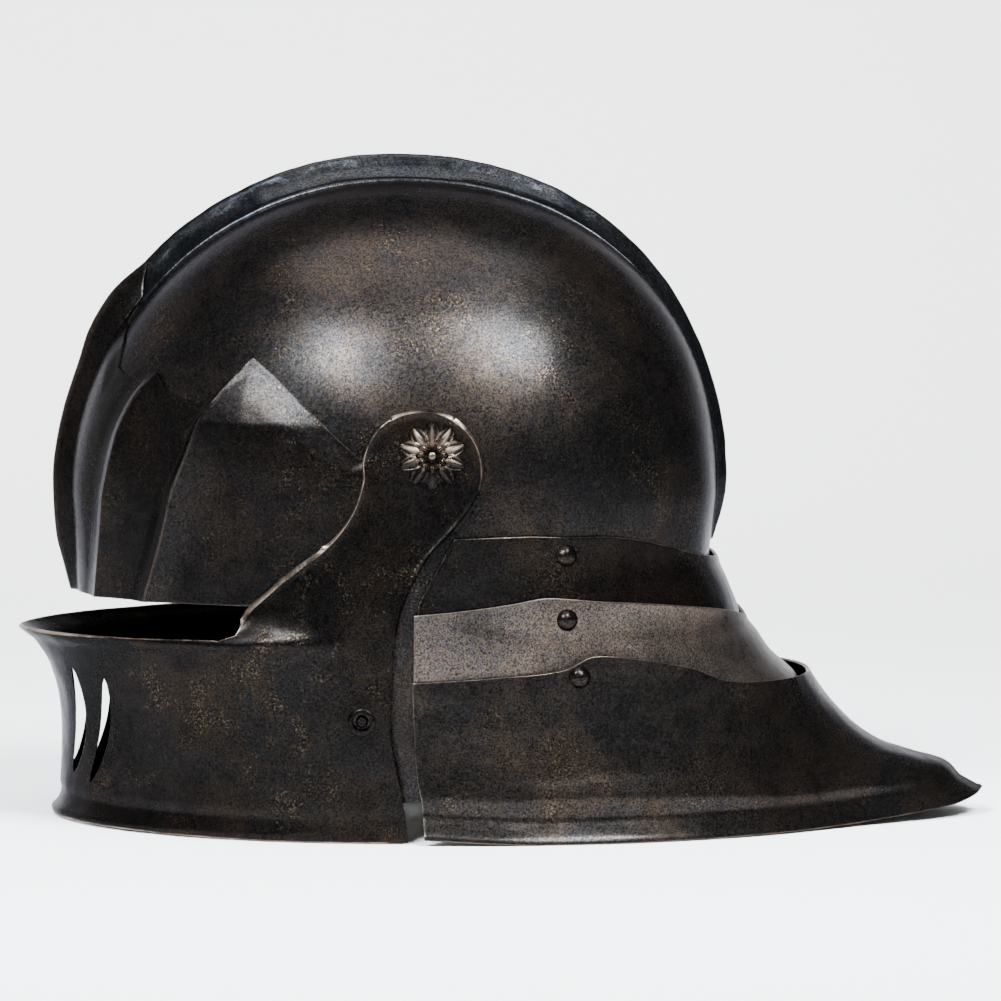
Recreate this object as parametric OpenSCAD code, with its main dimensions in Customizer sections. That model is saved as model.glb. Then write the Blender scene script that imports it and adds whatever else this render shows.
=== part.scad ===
// Visored sallet helmet with a three-plate articulated tail.
// +X runs to the tail, -X to the face, +Z up; the near side is -Y.
// The origin is on the table, under the middle of the helmet.

/* [Skull] */
// Height of the bowl's top above the table
skull_top = 240; // [236:1:244]
// Half width of the bowl
skull_half_w = 100; // [99:0.5:100]
// Thickness of the sheet that every plate is made from
sheet = 1.4; // [1.2:0.1:1.5]
// Height of the comb at the top of the bowl
comb_h = 10.3; // [6:0.1:11]
// Height of the brow plate's lower edge
brow_edge_z = 85.5; // [84:0.5:88]

/* [Visor] */
// Half width of the visor at its sides
visor_half_w = 107; // [106.5:0.5:109]
// Outward flare of the lip at the face
lip_flare = 16.8; // [10:0.1:17]
// Height of the breath slots
breath_h = 41; // [30:1:42]
// Radius of the disc round the visor's pivot
disc_r = 21.5; // [20:0.5:22]

/* [Tail] */
// Height of the tail plate's rear top edge
tail_top_z = 55.2; // [54:0.1:57]
// Reach of the tail plate's tip behind the middle of the helmet
tail_reach = 183.8; // [180:0.1:190]
// Radius of the domed rivet heads
rivet_head_r = 4; // [3.5:0.1:4.5]

/* [Fittings] */
// Width of the chin strap
strap_w = 18; // [14:1:20]
// Thickness of the chin strap's leather
strap_t = 2; // [1.6:0.1:2.2]
// Thickness of the quilted cap
pad_t = 6; // [5:0.5:10]

/* [Hidden] */

steel = [0.17, 0.15, 0.14];
blue_steel = [0.12, 0.13, 0.16];
worn_steel = [0.3, 0.28, 0.26];
tan_leather = [0.45, 0.3, 0.18];
linen = [0.75, 0.68, 0.55];
brass = [0.7, 0.55, 0.25];

run = 0.06;        // radial clearance of a pin that turns in its hole
gap = 0.3;         // space left between plates
pin_seg = 48;
through = 130;     // length of a cutter that runs from the mid-plane out through one side

// ---- general functions ----

function mix(a, b, t) = a + (b - a) * t;
function ease(x) = let (t = min(1, max(0, x))) t * t * (3 - 2 * t);
function unit(v) = v / norm(v);
// Falls from 1 to 0 along a superellipse of exponent n as t goes from 0 to 1
function arch(t, n) = pow(max(0, 1 - pow(max(0, t), n)), 1 / n);
function spow(x, p) = sign(x) * pow(abs(x), p);

function seg(t, x, i = 0) = (i >= len(t) - 2 || x < t[i + 1][0]) ? i : seg(t, x, i + 1);
function slope(t, i) =
    let (a = max(i - 1, 0), b = min(i + 1, len(t) - 1))
    (t[b][1] - t[a][1]) / (t[b][0] - t[a][0]);
// Smooth curve through the rows [x, value] of a table
function curve(t, x) =
    let (i = seg(t, x), h = t[i + 1][0] - t[i][0])
    let (s = min(1, max(0, (x - t[i][0]) / h)), s2 = s * s, s3 = s2 * s)
    t[i][1] * (2 * s3 - 3 * s2 + 1) + slope(t, i) * h * (s3 - 2 * s2 + s)
    + t[i + 1][1] * (3 * s2 - 2 * s3) + slope(t, i + 1) * h * (s3 - s2);

function lengths(p, i = 0, d = 0) =
    i >= len(p) ? [] : let (e = i == 0 ? 0 : d + norm(p[i] - p[i - 1])) concat([e], lengths(p, i + 1, e));
// The points of a path, each with its share of the path's length
function measured(p) = let (d = lengths(p)) [for (i = [0:len(p) - 1]) [d[i] / d[len(p) - 1], p[i]]];

// A grid is a list of rows from the top down; each row runs clockwise seen from above.
function grid_normal(g, i, j, closed) =
    let (rows = len(g), cols = len(g[0]))
    let (left = closed ? (j + cols - 1) % cols : max(0, j - 1))
    let (right = closed ? (j + 1) % cols : min(cols - 1, j + 1))
    unit(cross(g[i][right] - g[i][left], g[min(rows - 1, i + 1)][j] - g[max(0, i - 1)][j]));
function offset_grid(g, d, closed = false) =
    [for (i = [0:len(g) - 1]) [for (j = [0:len(g[0]) - 1]) g[i][j] + d * grid_normal(g, i, j, closed)]];
function flat(lists) = [for (l = lists) each l];

// A sheet between two grids, made of the cells that keep(row, column) allows
module sheet_between(outer, inner, closed = false, capped = false, keep = function (i, j) true) {
    rows = len(outer);
    cols = len(outer[0]);
    cells = closed ? cols : cols - 1;
    count = rows * cols;
    at = function (i, j) i * cols + j % cols;
    has = function (i, j)
        i >= 0 && i < rows - 1 && (closed || (j >= 0 && j < cells)) && keep(i, (j + cells) % cells);
    faces = [for (i = [0:rows - 2]) for (j = [0:cells - 1]) if (has(i, j))
        let (a = at(i, j), b = at(i, j + 1), c = at(i + 1, j + 1), d = at(i + 1, j))
        each [
            [a, d, c], [a, c, b],
            [a + count, b + count, c + count], [a + count, c + count, d + count],
            if (!has(i - 1, j) && !(capped && i == 0)) each [[a, b, b + count], [a, b + count, a + count]],
            if (!has(i + 1, j)) each [[c, d, d + count], [c, d + count, c + count]],
            if (!has(i, j - 1)) each [[d, a, a + count], [d, a + count, d + count]],
            if (!has(i, j + 1)) each [[b, c, c + count], [b, c + count, b + count]]
        ]];
    outer_lid = [for (j = [1:cols - 2]) [0, j, j + 1]];
    inner_lid = [for (j = [1:cols - 2]) [count, count + j + 1, count + j]];
    polyhedron(
        points = concat(flat(outer), flat(inner)),
        faces = capped ? concat(faces, outer_lid, inner_lid) : faces,
        convexity = 6);
}

module plate(outer, t = sheet, closed = false, capped = false, keep = function (i, j) true) {
    sheet_between(outer, offset_grid(outer, -t, closed), closed, capped, keep);
}

// A closed loop of points carried along a list of sections, with flat ends
module swept(sections) {
    n = len(sections[0]);
    last = (len(sections) - 1) * n;
    sides = [for (i = [0:len(sections) - 2]) for (k = [0:n - 1])
        let (a = i * n + k, b = i * n + (k + 1) % n)
        each [[a, b, b + n], [a, b + n, a + n]]];
    near_end = [for (k = [1:n - 2]) [0, k + 1, k]];
    far_end = [for (k = [1:n - 2]) [last, last + k, last + k + 1]];
    polyhedron(points = flat(sections), faces = concat(sides, near_end, far_end), convexity = 6);
}

module across(x, z, y = 0) { translate([x, y, z]) rotate([90, 0, 0]) children(); }
module both_sides() { children(); mirror([0, 1, 0]) children(); }

// ---- the skull's surface ----

bowl_x = -39.5;        // middle of the bowl along X
bowl_z = 122;          // height where the bowl is longest
bowl_r = 121.5;        // half length of the bowl
bowl_h = skull_top - bowl_z;
wide_x = -30;          // where the bowl is widest
wide_z = 130;          // height up to which the sides stand straight
rear_squareness = 2.25;

function skull_front(z) = z < bowl_z ? bowl_x - bowl_r + 0.06 * (bowl_z - z)
    : bowl_x - bowl_r * arch((z - bowl_z) / bowl_h, 2);
function skull_rear(z) = z < bowl_z ? bowl_x + bowl_r - 0.13 * (bowl_z - z)
    : bowl_x + bowl_r * arch((z - bowl_z) / bowl_h, 2.25);
function skull_half(z) = z < wide_z ? skull_half_w - 1.2 * ease((85 - z) / 85)
    : skull_half_w * arch((z - wide_z) / (skull_top - wide_z), 2.1);
function skull_mid(z) = mix(wide_x, bowl_x, ease((z - wide_z) / (skull_top - wide_z)));
// Point at height z, at an angle that is 0 behind, 90 at the near side and 180 in front
function skull_point(angle, z) =
    let (c = cos(angle), s = sin(angle), m = 2 / (c > 0 ? rear_squareness : 2), mid = skull_mid(z))
    [mid + (c > 0 ? skull_rear(z) - mid : mid - skull_front(z)) * spow(c, m), -skull_half(z) * spow(s, m), z];

// ---- skull ----

face_edge = 110;        // angle of the face opening's side edge
face_cols = 24;
side_cols = 18;
bowl_rows = 14;
curtain_rows = 5;
face_top_z = 88;        // height of the face opening's top
cheek_z = 14.4;         // height of the cheeks' lower edge
nape_z = 91;            // height of the rim behind the neck
corner_r = 19;          // radius of the face opening's corners

function skull_angle(j) =
    j < side_cols ? face_edge * j / side_cols
    : j < side_cols + face_cols ? mix(face_edge, 360 - face_edge, (j - side_cols) / face_cols)
    : mix(360 - face_edge, 360, (j - side_cols - face_cols) / side_cols);
function from_front(angle) = abs(angle - 180);
face_half = 180 - face_edge;
function corner(t) = 1 - sqrt(max(0, 1 - t * t));
// Height of the row that the face opening's top edge belongs to
function fold_z(f) =
    f <= face_half ? face_top_z - corner_r * corner(max(0, (f - face_half + 11) / 11))
    : mix(face_top_z - corner_r, nape_z + 9, ease((f - face_half) / 40));
// Height of the rim behind the face opening
function rim_z(f) =
    cheek_z + 20 * corner(max(0, 1 - (f - face_half) / 9)) + (nape_z - cheek_z) * ease((f - 92) / 20);
function skull_row_z(i, f) =
    i <= bowl_rows ? bowl_z + bowl_h * cos(mix(4, acos((fold_z(f) - bowl_z) / bowl_h), i / bowl_rows))
    : mix(fold_z(f), rim_z(f), (i - bowl_rows) / curtain_rows);
skull_grid = [for (i = [0:bowl_rows + curtain_rows]) [for (j = [0:face_cols + 2 * side_cols - 1])
    let (a = skull_angle(j)) skull_point(a, skull_row_z(i, from_front(a)))]];

module skull() {
    color(steel) difference() {
        plate(skull_grid, closed = true, capped = true,
            keep = function (i, j) i < bowl_rows || j < side_cols || j >= side_cols + face_cols);
        pivot_bores();
        both_sides() across(upper_rivet[0], upper_rivet[1])
            cylinder(h = through, r = shank_r + run, $fn = pin_seg);
        both_sides() across(strap_pin[0], strap_pin[1]) cylinder(h = through, r = strap_pin_r, $fn = pin_seg);
        across(catch_x, catch_rivet_z) cylinder(h = through, r = catch_rivet_r, $fn = pin_seg);
        across(catch_x, catch_z) cylinder(h = through, r = catch_r + 0.8, $fn = pin_seg);
        liner_rivet_places() cylinder(h = 12, r = liner_rivet_r, $fn = pin_seg, center = true);
    }
}

// ---- comb ----

// Height of the comb at each angle from the crown
comb_heights = [[-58, 1.5], [-52, 6], [-47, 9.3], [-25, 10.2], [0, 10.3], [20, 8.6], [38, 6.6], [63, 4.2],
    [84, 4.2], [92, 3.2], [98.6, 1]];
comb_half_w = 9;
comb_drawn_h = 10.3;    // height that the table of heights was drawn for
comb_ridge_w = 1.4;     // half width of the rounded ridge
comb_steps = 44;
comb_front = -58;       // degrees ahead of the crown, under the brow plate
comb_back = 98.6;
function comb_section(t, share) =
    let (z = bowl_z + bowl_h * cos(t), x = t < 0 ? skull_front(z) : skull_rear(z))
    let (out = unit([x - bowl_x, 0, z - bowl_z]), h = curve(comb_heights, t) * comb_h / comb_drawn_h)
    let (w = comb_half_w * mix(0.5, 1, min(1, h / 6)), base = -w * w / (2 * bowl_h) - gap, r = comb_ridge_w)
    let (foot = 1.2, top = h - base)
    [for (p = [[-w, 0], [-w, foot], [-r, top - 0.5], [0, top], [r, top - 0.5], [w, foot], [w, 0]])
        [x, p[0] * mix(1, share, 0.75), z] + out * (base + p[1] * share)];
function comb_grid(share) =
    let (sections = [for (i = [0:comb_steps]) comb_section(mix(comb_front, comb_back, i / comb_steps),
    share)])
    [for (k = [0:len(sections[0]) - 1]) [for (section = sections) section[k]]];
module comb() {
    hollow = 0.78;         // share of the section that the inner face has
    color(blue_steel) sheet_between(comb_grid(1), comb_grid(hollow));
}

// ---- brow plate ----

// Height of the brow plate's rear and top edge at each angle from the front
brow_top = [
    [0, 209], [1.4, 205.5], [5, 194.5], [10, 186.5], [17, 179.5], [21, 170.5], [26, 168], [31, 167],
    [37.8, 169.5], [42, 162.5], [47, 160], [51.4, 158], [56.3, 166.8], [60.7, 175.4], [65, 169.5],
    [69.5, 162.1],
    [73.7, 153.9], [80.8, 139.4], [85, 142], [89, 151], [92.8, 153.2], [97, 149], [99, 143]];
// Height of its lower edge
brow_bottom = [[0, brow_edge_z], [62, brow_edge_z], [70, 93], [80, 108], [86, 123], [92.8, 129.2], [97, 133],
    [99, 139]];
// Where its keel is at each height
brow_keel = [[84, -163.5], [95.9, -166.5], [105.7, -168.9], [123.9, -170.1], [136, -169.5], [154.2, -165.8],
    [172.5, -159.8], [188.2, -153.7], [209, -135]];
brow_rows = 9;
brow_lift = 2 * gap + sheet;     // how far the plate's outer face stands off the skull
function brow_point(f, z) = f == 0 ? [curve(brow_keel, z) + brow_lift, 0, z] : skull_point(180 - f, z);
brow_angles = concat([for (i = [len(brow_top) - 1:-1:1]) brow_top[i][0]], [for (r = brow_top) -r[0]]);
brow_grid = [for (i = [0:brow_rows]) [for (f = brow_angles)
    brow_point(f, mix(lookup(abs(f), brow_top), lookup(abs(f), brow_bottom), i / brow_rows))]];
module brow_plate() {
    color(steel) difference() {
        sheet_between(offset_grid(brow_grid, brow_lift), offset_grid(brow_grid, brow_lift - sheet));
        pivot_bores();
    }
}

// ---- pivot ----

pivot = [-24.7, 141.2];
pivot_r = 3;
disc_centre = [-28.3, 135.7];
arm_out_y = visor_half_w - 2.2;
arm_in_y = arm_out_y - sheet;
pin_in_y = 94.4;         // inner end of the pins
pivot_ring_r = 8;        // radius of the spacers and washers on the pins
module pivot_bores() {
    both_sides() across(pivot[0], pivot[1], -80) cylinder(h = 60, r = pivot_r, $fn = pin_seg);
}
module pivot_pins() {
    color(worn_steel) both_sides() across(pivot[0], pivot[1], -pin_in_y)
        cylinder(h = arm_out_y + 0.4 - pin_in_y, r = pivot_r, $fn = pin_seg);
}
petals = 10;
module rosettes() {
    disc = 8.6;
    color(worn_steel) both_sides() across(pivot[0], pivot[1], -arm_out_y - 0.1) difference() {
        union() {
            cylinder(h = 1.2, r = disc, $fn = pin_seg);
            for (k = [0:petals - 1]) rotate((k + 0.5) * 360 / petals) translate([disc + 0.6, 0, 1.5]) petal();
            translate([0, 0, 1]) cylinder(h = 2.2, r1 = 3.6, r2 = 2.4, $fn = pin_seg);
        }
        translate([0, 0, -1]) cylinder(h = 1.6, r = pivot_r, $fn = pin_seg);
    }
}
module petal() {
    rotate([0, 90, 0]) cylinder(h = 6.2, r1 = 1.3, r2 = 0.75, $fn = 24, center = true);
}
module ring(h, r, hole) {
    difference() {
        cylinder(h = h, r = r, $fn = pin_seg);
        translate([0, 0, -1]) cylinder(h = h + 2, r = hole, $fn = pin_seg);
    }
}
module pivot_spacers() {
    start = skull_half_w + brow_lift;
    color(worn_steel) both_sides() across(pivot[0], pivot[1], -start)
        ring(arm_in_y - start - 0.1, pivot_ring_r, pivot_r);
}
module pivot_washers() {
    color(worn_steel) both_sides() across(pivot[0], pivot[1], -pin_in_y - 0.4) ring(1.6, pivot_ring_r,
    pivot_r);
}

// ---- visor ----

visor_x = -40;           // where the visor is widest
keel_x = -167;           // the visor's face above the chin
visor_squareness = 1.85;
// Outward flare at each height, in front
flare = [[0, 4.6], [3.3, 4.7], [6.2, 2.2], [9.7, 1], [21, 0.2], [30.7, 0], [40, 0.4], [48.2, 1.6], [54, 3.3],
    [58.6, 5], [63.3, 8], [67.4, 11.4], [70.6, 16.8], [73.6, 17], [77, 9], [82, 2.5], [88, 0], [200, 0]];
// Share of the flare at each angle from the front
flare_share = [[0, 1], [20, 0.8], [40, 0.6], [58, 0.42], [66, 0.3], [76, 0.1], [84, 0], [180, 0]];
function visor_half(z) = visor_half_w - (visor_half_w - arm_out_y) * ease((z - 80) / 40);
function visor_angle(x) =
    x > visor_x ? 90 : acos(pow((visor_x - x) / (visor_x - keel_x), visor_squareness / 2));
// Point of the visor's outer face at an angle from the front, 90 and more being behind the widest place
function visor_point(f, z) =
    let (s = f > 90 ? 1 : sin(f), c = f > 90 ? 0 : cos(f), m = 2 / visor_squareness)
    let (a = visor_x - keel_x, b = visor_half(z))
    let (out = unit([-pow(c, 2 - m) / a, -pow(s, 2 - m) / b, 0]))
    let (lip = curve(flare, z) * lip_flare / 16.8 * curve(flare_share, f))
    [f > 90 ? visor_x + f - 90 : visor_x - a * pow(c, m), -b * pow(s, m), z] + lip * out;
visor_bottom = [[0, 1.5], [40, 0.8], [70, 0.3], [90, 0.5], [97, 0.8]];
visor_crest = [[0, 70.6], [30, 72], [60, 73.6], [70, 73], [91, 71]];
visor_rear = [[0.5, -33.4], [13.7, -35.2], [31.5, -38.8], [39.8, -40], [50.7, -40], [71, -39.2]];
arm_foot = 60;          // angle of the arm's front foot
visor_rows = 9;
arm_rows = 10;
front_cols = 34;
arm_cols = 7;
visor_cols = front_cols + 2 * arm_cols;
function visor_col_angle(j, z) =
    let (rear = 90 + (curve(visor_rear, z) - visor_x))
    j < arm_cols ? mix(rear, arm_foot, j / arm_cols)
    : j <= arm_cols + front_cols ? arm_foot * (1 - 2 * (j - arm_cols) / front_cols)
    : -mix(arm_foot, rear, (j - arm_cols - front_cols) / arm_cols);
function mirror_y(p) = [p[0], -p[1], p[2]];
function visor_side_point(f, z) = f < 0 ? mirror_y(visor_point(-f, z)) : visor_point(f, z);
function body_z(j, v) =
    let (f = abs(visor_col_angle(j, 70)))
    mix(curve(visor_crest, f), curve(visor_bottom, f), v);
visor_body = [for (i = [0:visor_rows]) [for (j = [0:visor_cols])
    let (z = body_z(j, i / visor_rows)) visor_side_point(visor_col_angle(j, z), z)]];

function on_disc(a) = disc_centre + disc_r * [cos(a), sin(a)];
arm_front_path = measured([[-95.3, 73.6], [-91, 84], [-80, 94.7], [-63.5, 107], [-54, 119],
    on_disc(190), on_disc(155), on_disc(122)]);
arm_rear_path = measured([[-39, 71], [-36.3, 85.2], [-27.4, 103.4], [-15.7, 116.8],
    on_disc(-20), on_disc(22), on_disc(58)]);
function arm_point(v, w) =
    let (p = mix(curve(arm_front_path, v), curve(arm_rear_path, v), w))
    let (bulge = 3.2 * 4 * w * (1 - w) * ease((v - 0.7) / 0.3))
    let (x = p[0], z = p[1] + bulge)
    visor_point(x > visor_x ? 90 + x - visor_x : visor_angle(x), z);
// Rows of both arms above the crest, from the disc down
visor_arms = [for (i = [arm_rows:-1:1]) [for (j = [0:visor_cols])
    j <= arm_cols ? arm_point(i / arm_rows, 1 - j / arm_cols)
    : j >= arm_cols + front_cols ? mirror_y(arm_point(i / arm_rows, (j - arm_cols - front_cols) / arm_cols))
    : visor_body[0][j] + [0, 0, i]]];
visor_grid = concat(visor_arms, visor_body);
visor_inner = concat(
    [for (i = [0:arm_rows - 1]) offset_grid(visor_grid, -sheet)[i]],
    offset_grid(visor_body, -sheet));

catch_x = -50.3;
catch_z = 44.5;
catch_r = 2.2;
// How far forward the slots move for each millimetre towards the far side
breath_skew = 0.072;
// Outline of a breath slot in side view: a bowed strip, pointed at both ends
module breath(x_top, x_bottom, bow, width) {
    steps = 10;
    outer = [for (k = [0:steps]) let (t = k / steps)
        [mix(x_bottom, x_top, t) + bow * sin(180 * t) + width / 2 * sin(180 * t), t * breath_h]];
    inner = [for (k = [steps - 1:-1:1]) let (t = k / steps)
        [mix(x_bottom, x_top, t) + bow * sin(180 * t) - width / 2 * sin(180 * t), t * breath_h]];
    multmatrix([[1, -breath_skew, 0, 0]])
        rotate([90, 0, 0]) linear_extrude(height = 160, center = true) polygon(concat(outer, inner));
}
module visor() {
    color(steel) difference() {
        sheet_between(visor_grid, visor_inner,
            keep = function (i, j) i >= arm_rows || j < arm_cols || j >= arm_cols + front_cols);
        translate([0, 0, 17.8]) breath(-163.2, -162.6, 3.2, 3.8);
        translate([0, 0, 15]) breath(-151.1, -156.7, 3, 3.6);
        both_sides() across(pivot[0], pivot[1], -95) cylinder(h = 20, r = pivot_r + run, $fn = pin_seg);
        across(catch_x, catch_z, -95) cylinder(h = 20, r = 3.3, $fn = pin_seg);
    }
}

// ---- lames and tail plate ----

lame_x = -32;           // where the lames are widest
lame_cols = 36;
lame_rows = 4;
// Where the lames reach to the rear at each height, the heights of their edges at each angle from the rear,
// and where their front edges are at each height
upper_rear = [[64, 90.6], [77.3, 90.4], [88.7, 86.3], [97.7, 82.7], [112, 82.6]];
upper_top = [[0, 97.7], [25, 101.5], [43, 107], [56, 110.3], [68, 110.8], [76, 111.4], [90, 110.7]];
upper_bottom = [[0, 68], [45, 70], [90, 71]];
upper_front = [[70, -30.5], [86, -29.8], [92.6, -26.7], [101.2, -21.9], [112, -16]];
middle_rear = [[49, 114.5], [53.3, 112], [61.5, 103], [69, 97.8], [75, 93.6], [90, 93.2]];
middle_top = [[0, 75], [26, 81.4], [48, 85.6], [60, 87.4], [65, 88.4], [70, 89], [76, 86.9], [82, 85.1],
    [90, 83.1]];
middle_bottom = [[0, 52], [30, 51], [60, 49], [90, 49]];
middle_front = [[48, -31.6], [84, -31.4]];
// Height of the tail plate's top edge at each angle from the rear
tail_top = [[0, tail_top_z], [32, tail_top_z + 0.1], [42, 57], [49, 62], [59, 66], [66.5, 67.7], [71, 62.9],
    [81, 60.4], [90, 58.7]];
// Plan of the tail plate's lower edge, and its height
tail_hem = [[0, [tail_reach, 0]], [8, [tail_reach - 4, 13]], [15, [tail_reach - 14, 25]],
    [30, [134, 51]], [45, [97, 81]],
    [60, [54, 102.5]], [75, [9, 112]], [90, [-27.5, 113.5]]];
tail_hem_z = [[0, 9.6], [8, 7.8], [15, 5.2], [30, 1.5], [45, 0.6], [60, 0.3], [75, 0.3], [90, 2.2]];
// Share of the way out and down that the tail plate's profile has gone at each step
tail_out = [[0, 0], [0.25, 0.1], [0.45, 0.25], [0.62, 0.41], [0.75, 0.6], [0.88, 0.82], [1, 1]];
tail_down = [[0, 0], [0.25, 0.22], [0.45, 0.45], [0.62, 0.6], [0.75, 0.69], [0.88, 0.79], [1, 1]];
tail_rear_x = 117.3;
upper_half = 102.9;
middle_half = 105.1;
tail_half = 107.3;

function lame_point(f, z, rear_x, half) =
    let (m = 2 / rear_squareness)
    [lame_x + (rear_x - lame_x) * pow(cos(f), m), half * spow(sin(f), m), z];
function front_limit(x, rear_x) = acos(pow(max(0, x - lame_x) / (rear_x - lame_x), rear_squareness / 2));
function lame_angle(j) = 90 - 180 * j / lame_cols;
function lame_grid(top, bottom, rear, front, half) =
    [for (i = [0:lame_rows]) [for (j = [0:lame_cols])
        let (f = lame_angle(j))
        let (z = mix(curve(top, abs(f)), curve(bottom, abs(f)), i / lame_rows), rear_x = curve(rear, z))
        lame_point(f / 90 * front_limit(curve(front, z), rear_x), z, rear_x, half)]];
upper_grid = lame_grid(upper_top, upper_bottom, upper_rear, upper_front, upper_half);
middle_grid = lame_grid(middle_top, middle_bottom, middle_rear, middle_front, middle_half);

tail_cols = 48;
tail_rows = 10;
function tail_point(f, v) =
    let (top = lame_point(f, curve(tail_top, abs(f)), tail_rear_x, tail_half))
    let (hem = curve(tail_hem, abs(f)), out = curve(tail_out, v), down = curve(tail_down, v))
    [mix(top[0], hem[0], out), mix(top[1], sign(f) * hem[1], out), mix(top[2], curve(tail_hem_z,
    abs(f)), down)];
tail_grid = [for (i = [0:tail_rows]) [for (j = [0:tail_cols])
    tail_point(90 - 180 * j / tail_cols, i / tail_rows)]];

upper_rivet = [24.1, 104.1];
middle_rivet = [24.3, 80.9];
tail_rivet = [28.8, 60.4];
shank_r = 2.5;

module upper_lame() {
    color(steel) difference() {
        plate(upper_grid);
        both_sides() across(upper_rivet[0], upper_rivet[1]) cylinder(h = through, r = shank_r, $fn = pin_seg);
        both_sides() across(middle_rivet[0], middle_rivet[1])
            cylinder(h = through, r = shank_r + run, $fn = pin_seg);
    }
}
module middle_lame() {
    color(steel) difference() {
        plate(middle_grid);
        both_sides() across(middle_rivet[0], middle_rivet[1])
            cylinder(h = through, r = shank_r, $fn = pin_seg);
        both_sides() across(tail_rivet[0], tail_rivet[1])
            cylinder(h = through, r = shank_r + run, $fn = pin_seg);
    }
}
module tail_plate() {
    color(steel) difference() {
        plate(tail_grid);
        both_sides() across(tail_rivet[0], tail_rivet[1]) cylinder(h = through, r = shank_r, $fn = pin_seg);
    }
}

// Where a lame's outer face is at a rivet, and how far it leans back there
function lame_y(x, rear_x, half) = half * arch((x - lame_x) / (rear_x - lame_x), rear_squareness);
function lame_lean(x, rear_x, half) = atan(lame_y(x - 1, rear_x, half) / 2 - lame_y(x + 1, rear_x, half) / 2);
module rivet_pair(place, rear_x, half, inner_y) {
    y = lame_y(place[0], rear_x, half);
    both_sides() {
        across(place[0], place[1], -inner_y) cylinder(h = y - inner_y + 0.4, r = shank_r, $fn = pin_seg);
        across(place[0], place[1], -inner_y) cylinder(h = 1.4, r = shank_r + 1.2, $fn = pin_seg);
        across(place[0], place[1], -y) rotate([0, lame_lean(place[0], rear_x, half), 0]) dome();
    }
}
module dome() {
    rise = 2.6;
    ball = (rivet_head_r * rivet_head_r + rise * rise) / (2 * rise);
    translate([0, 0, 0.1]) intersection() {
        translate([0, 0, rise - ball]) sphere(r = ball, $fn = pin_seg);
        cylinder(h = rise + 1, r = rivet_head_r, $fn = pin_seg);
    }
}
module washer_pair(place, inner_y) {
    both_sides() across(place[0], place[1], -inner_y - 1.45) ring(1, 5.4, shank_r);
}
// How far each lame reaches to the rear at its rivets, and how far in the rivets go
upper_rivet_rear = 82;
middle_rivet_rear = 93.5;
rivet_depth = 9.5;
upper_in_y = lame_y(upper_rivet[0], upper_rivet_rear, upper_half) - rivet_depth;
middle_in_y = lame_y(middle_rivet[0], middle_rivet_rear, middle_half) - rivet_depth;
tail_in_y = lame_y(tail_rivet[0], tail_rear_x, tail_half) - rivet_depth - gap;
module upper_rivets() { color(worn_steel) rivet_pair(upper_rivet, upper_rivet_rear, upper_half, upper_in_y); }
module upper_washers() { color(worn_steel) washer_pair(upper_rivet, upper_in_y); }
module middle_rivets() {
    color(worn_steel) rivet_pair(middle_rivet, middle_rivet_rear, middle_half, middle_in_y);
}
module middle_washers() { color(worn_steel) washer_pair(middle_rivet, middle_in_y); }
module tail_rivets() { color(worn_steel) rivet_pair(tail_rivet, tail_rear_x, tail_half + 0.5, tail_in_y); }
module tail_washers() { color(worn_steel) washer_pair(tail_rivet, tail_in_y); }

// ---- visor catch ----

catch_rivet_z = 19.5;
catch_rivet_r = 1.5;
spring_y = 101.6;       // inner face of the leaf spring
catch_crown_y = visor_half_w - sheet - 1;
module catch_spring() {
    color(worn_steel) difference() {
        across(catch_x, 0, -spring_y) linear_extrude(height = 0.8) hull() {
            translate([0, catch_rivet_z]) circle(r = 4, $fn = pin_seg);
            translate([0, catch_z]) circle(r = 3.4, $fn = pin_seg);
        }
        across(catch_x, catch_rivet_z, -90) cylinder(h = 20, r = catch_rivet_r, $fn = pin_seg);
        across(catch_x, catch_z, -90) cylinder(h = 20, r = catch_r, $fn = pin_seg);
    }
}
module catch_spring_rivet() {
    head_r = 2.8;
    skull_y = 99.2;        // outer face of the skull at the rivet
    inner_end = 96.4;
    color(worn_steel) {
        across(catch_x, catch_rivet_z, 1 - inner_end)
            cylinder(h = spring_y + 2.2 - inner_end, r = catch_rivet_r, $fn = pin_seg);
        across(catch_x, catch_rivet_z, -skull_y) ring(spring_y - skull_y - 0.1, head_r + 0.6, catch_rivet_r);
        across(catch_x, catch_rivet_z, -spring_y - 0.8) cylinder(h = 0.9, r = head_r, $fn = pin_seg);
        across(catch_x, catch_rivet_z, 2 - inner_end) cylinder(h = 1.4, r = head_r, $fn = pin_seg);
    }
}
module catch_stud() {
    color(worn_steel) {
        across(catch_x, catch_z, -spring_y + 1.8)
            cylinder(h = catch_crown_y - spring_y + 1.3, r = catch_r, $fn = pin_seg);
        across(catch_x, catch_z, 0.5 - catch_crown_y)
            cylinder(h = 0.5, r1 = catch_r, r2 = catch_r - 0.6, $fn = pin_seg);
    }
}

// ---- liner ----

liner_rivet_r = 1.6;
liner_rivet_z = 122;
liner_rivet_angles = [30, 128, 152, 208, 232, 330];
module liner_rivet_places() {
    for (a = liner_rivet_angles) {
        p = skull_point(a, liner_rivet_z);
        q = skull_point(a + 1, liner_rivet_z) - skull_point(a - 1, liner_rivet_z);
        translate(p) rotate([0, 0, atan2(q[1], q[0])]) rotate([-90, 0, 0]) children();
    }
}
function ring_grid(z_top, z_bottom, rows, cols, inset) =
    offset_grid([for (i = [0:rows]) [for (j = [0:cols - 1])
        skull_point(360 * j / cols, mix(z_top, z_bottom, i / rows))]], -inset, true);
module liner_band() {
    band_t = 2.4;
    outer = ring_grid(131, 113, 2, 60, sheet + 2 * gap);
    inner = ring_grid(131, 113, 2, 60, sheet + 2 * gap + band_t);
    color(tan_leather) difference() {
        sheet_between(outer, inner, closed = true);
        liner_rivet_places() cylinder(h = 16, r = liner_rivet_r, $fn = pin_seg, center = true);
    }
}
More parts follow.
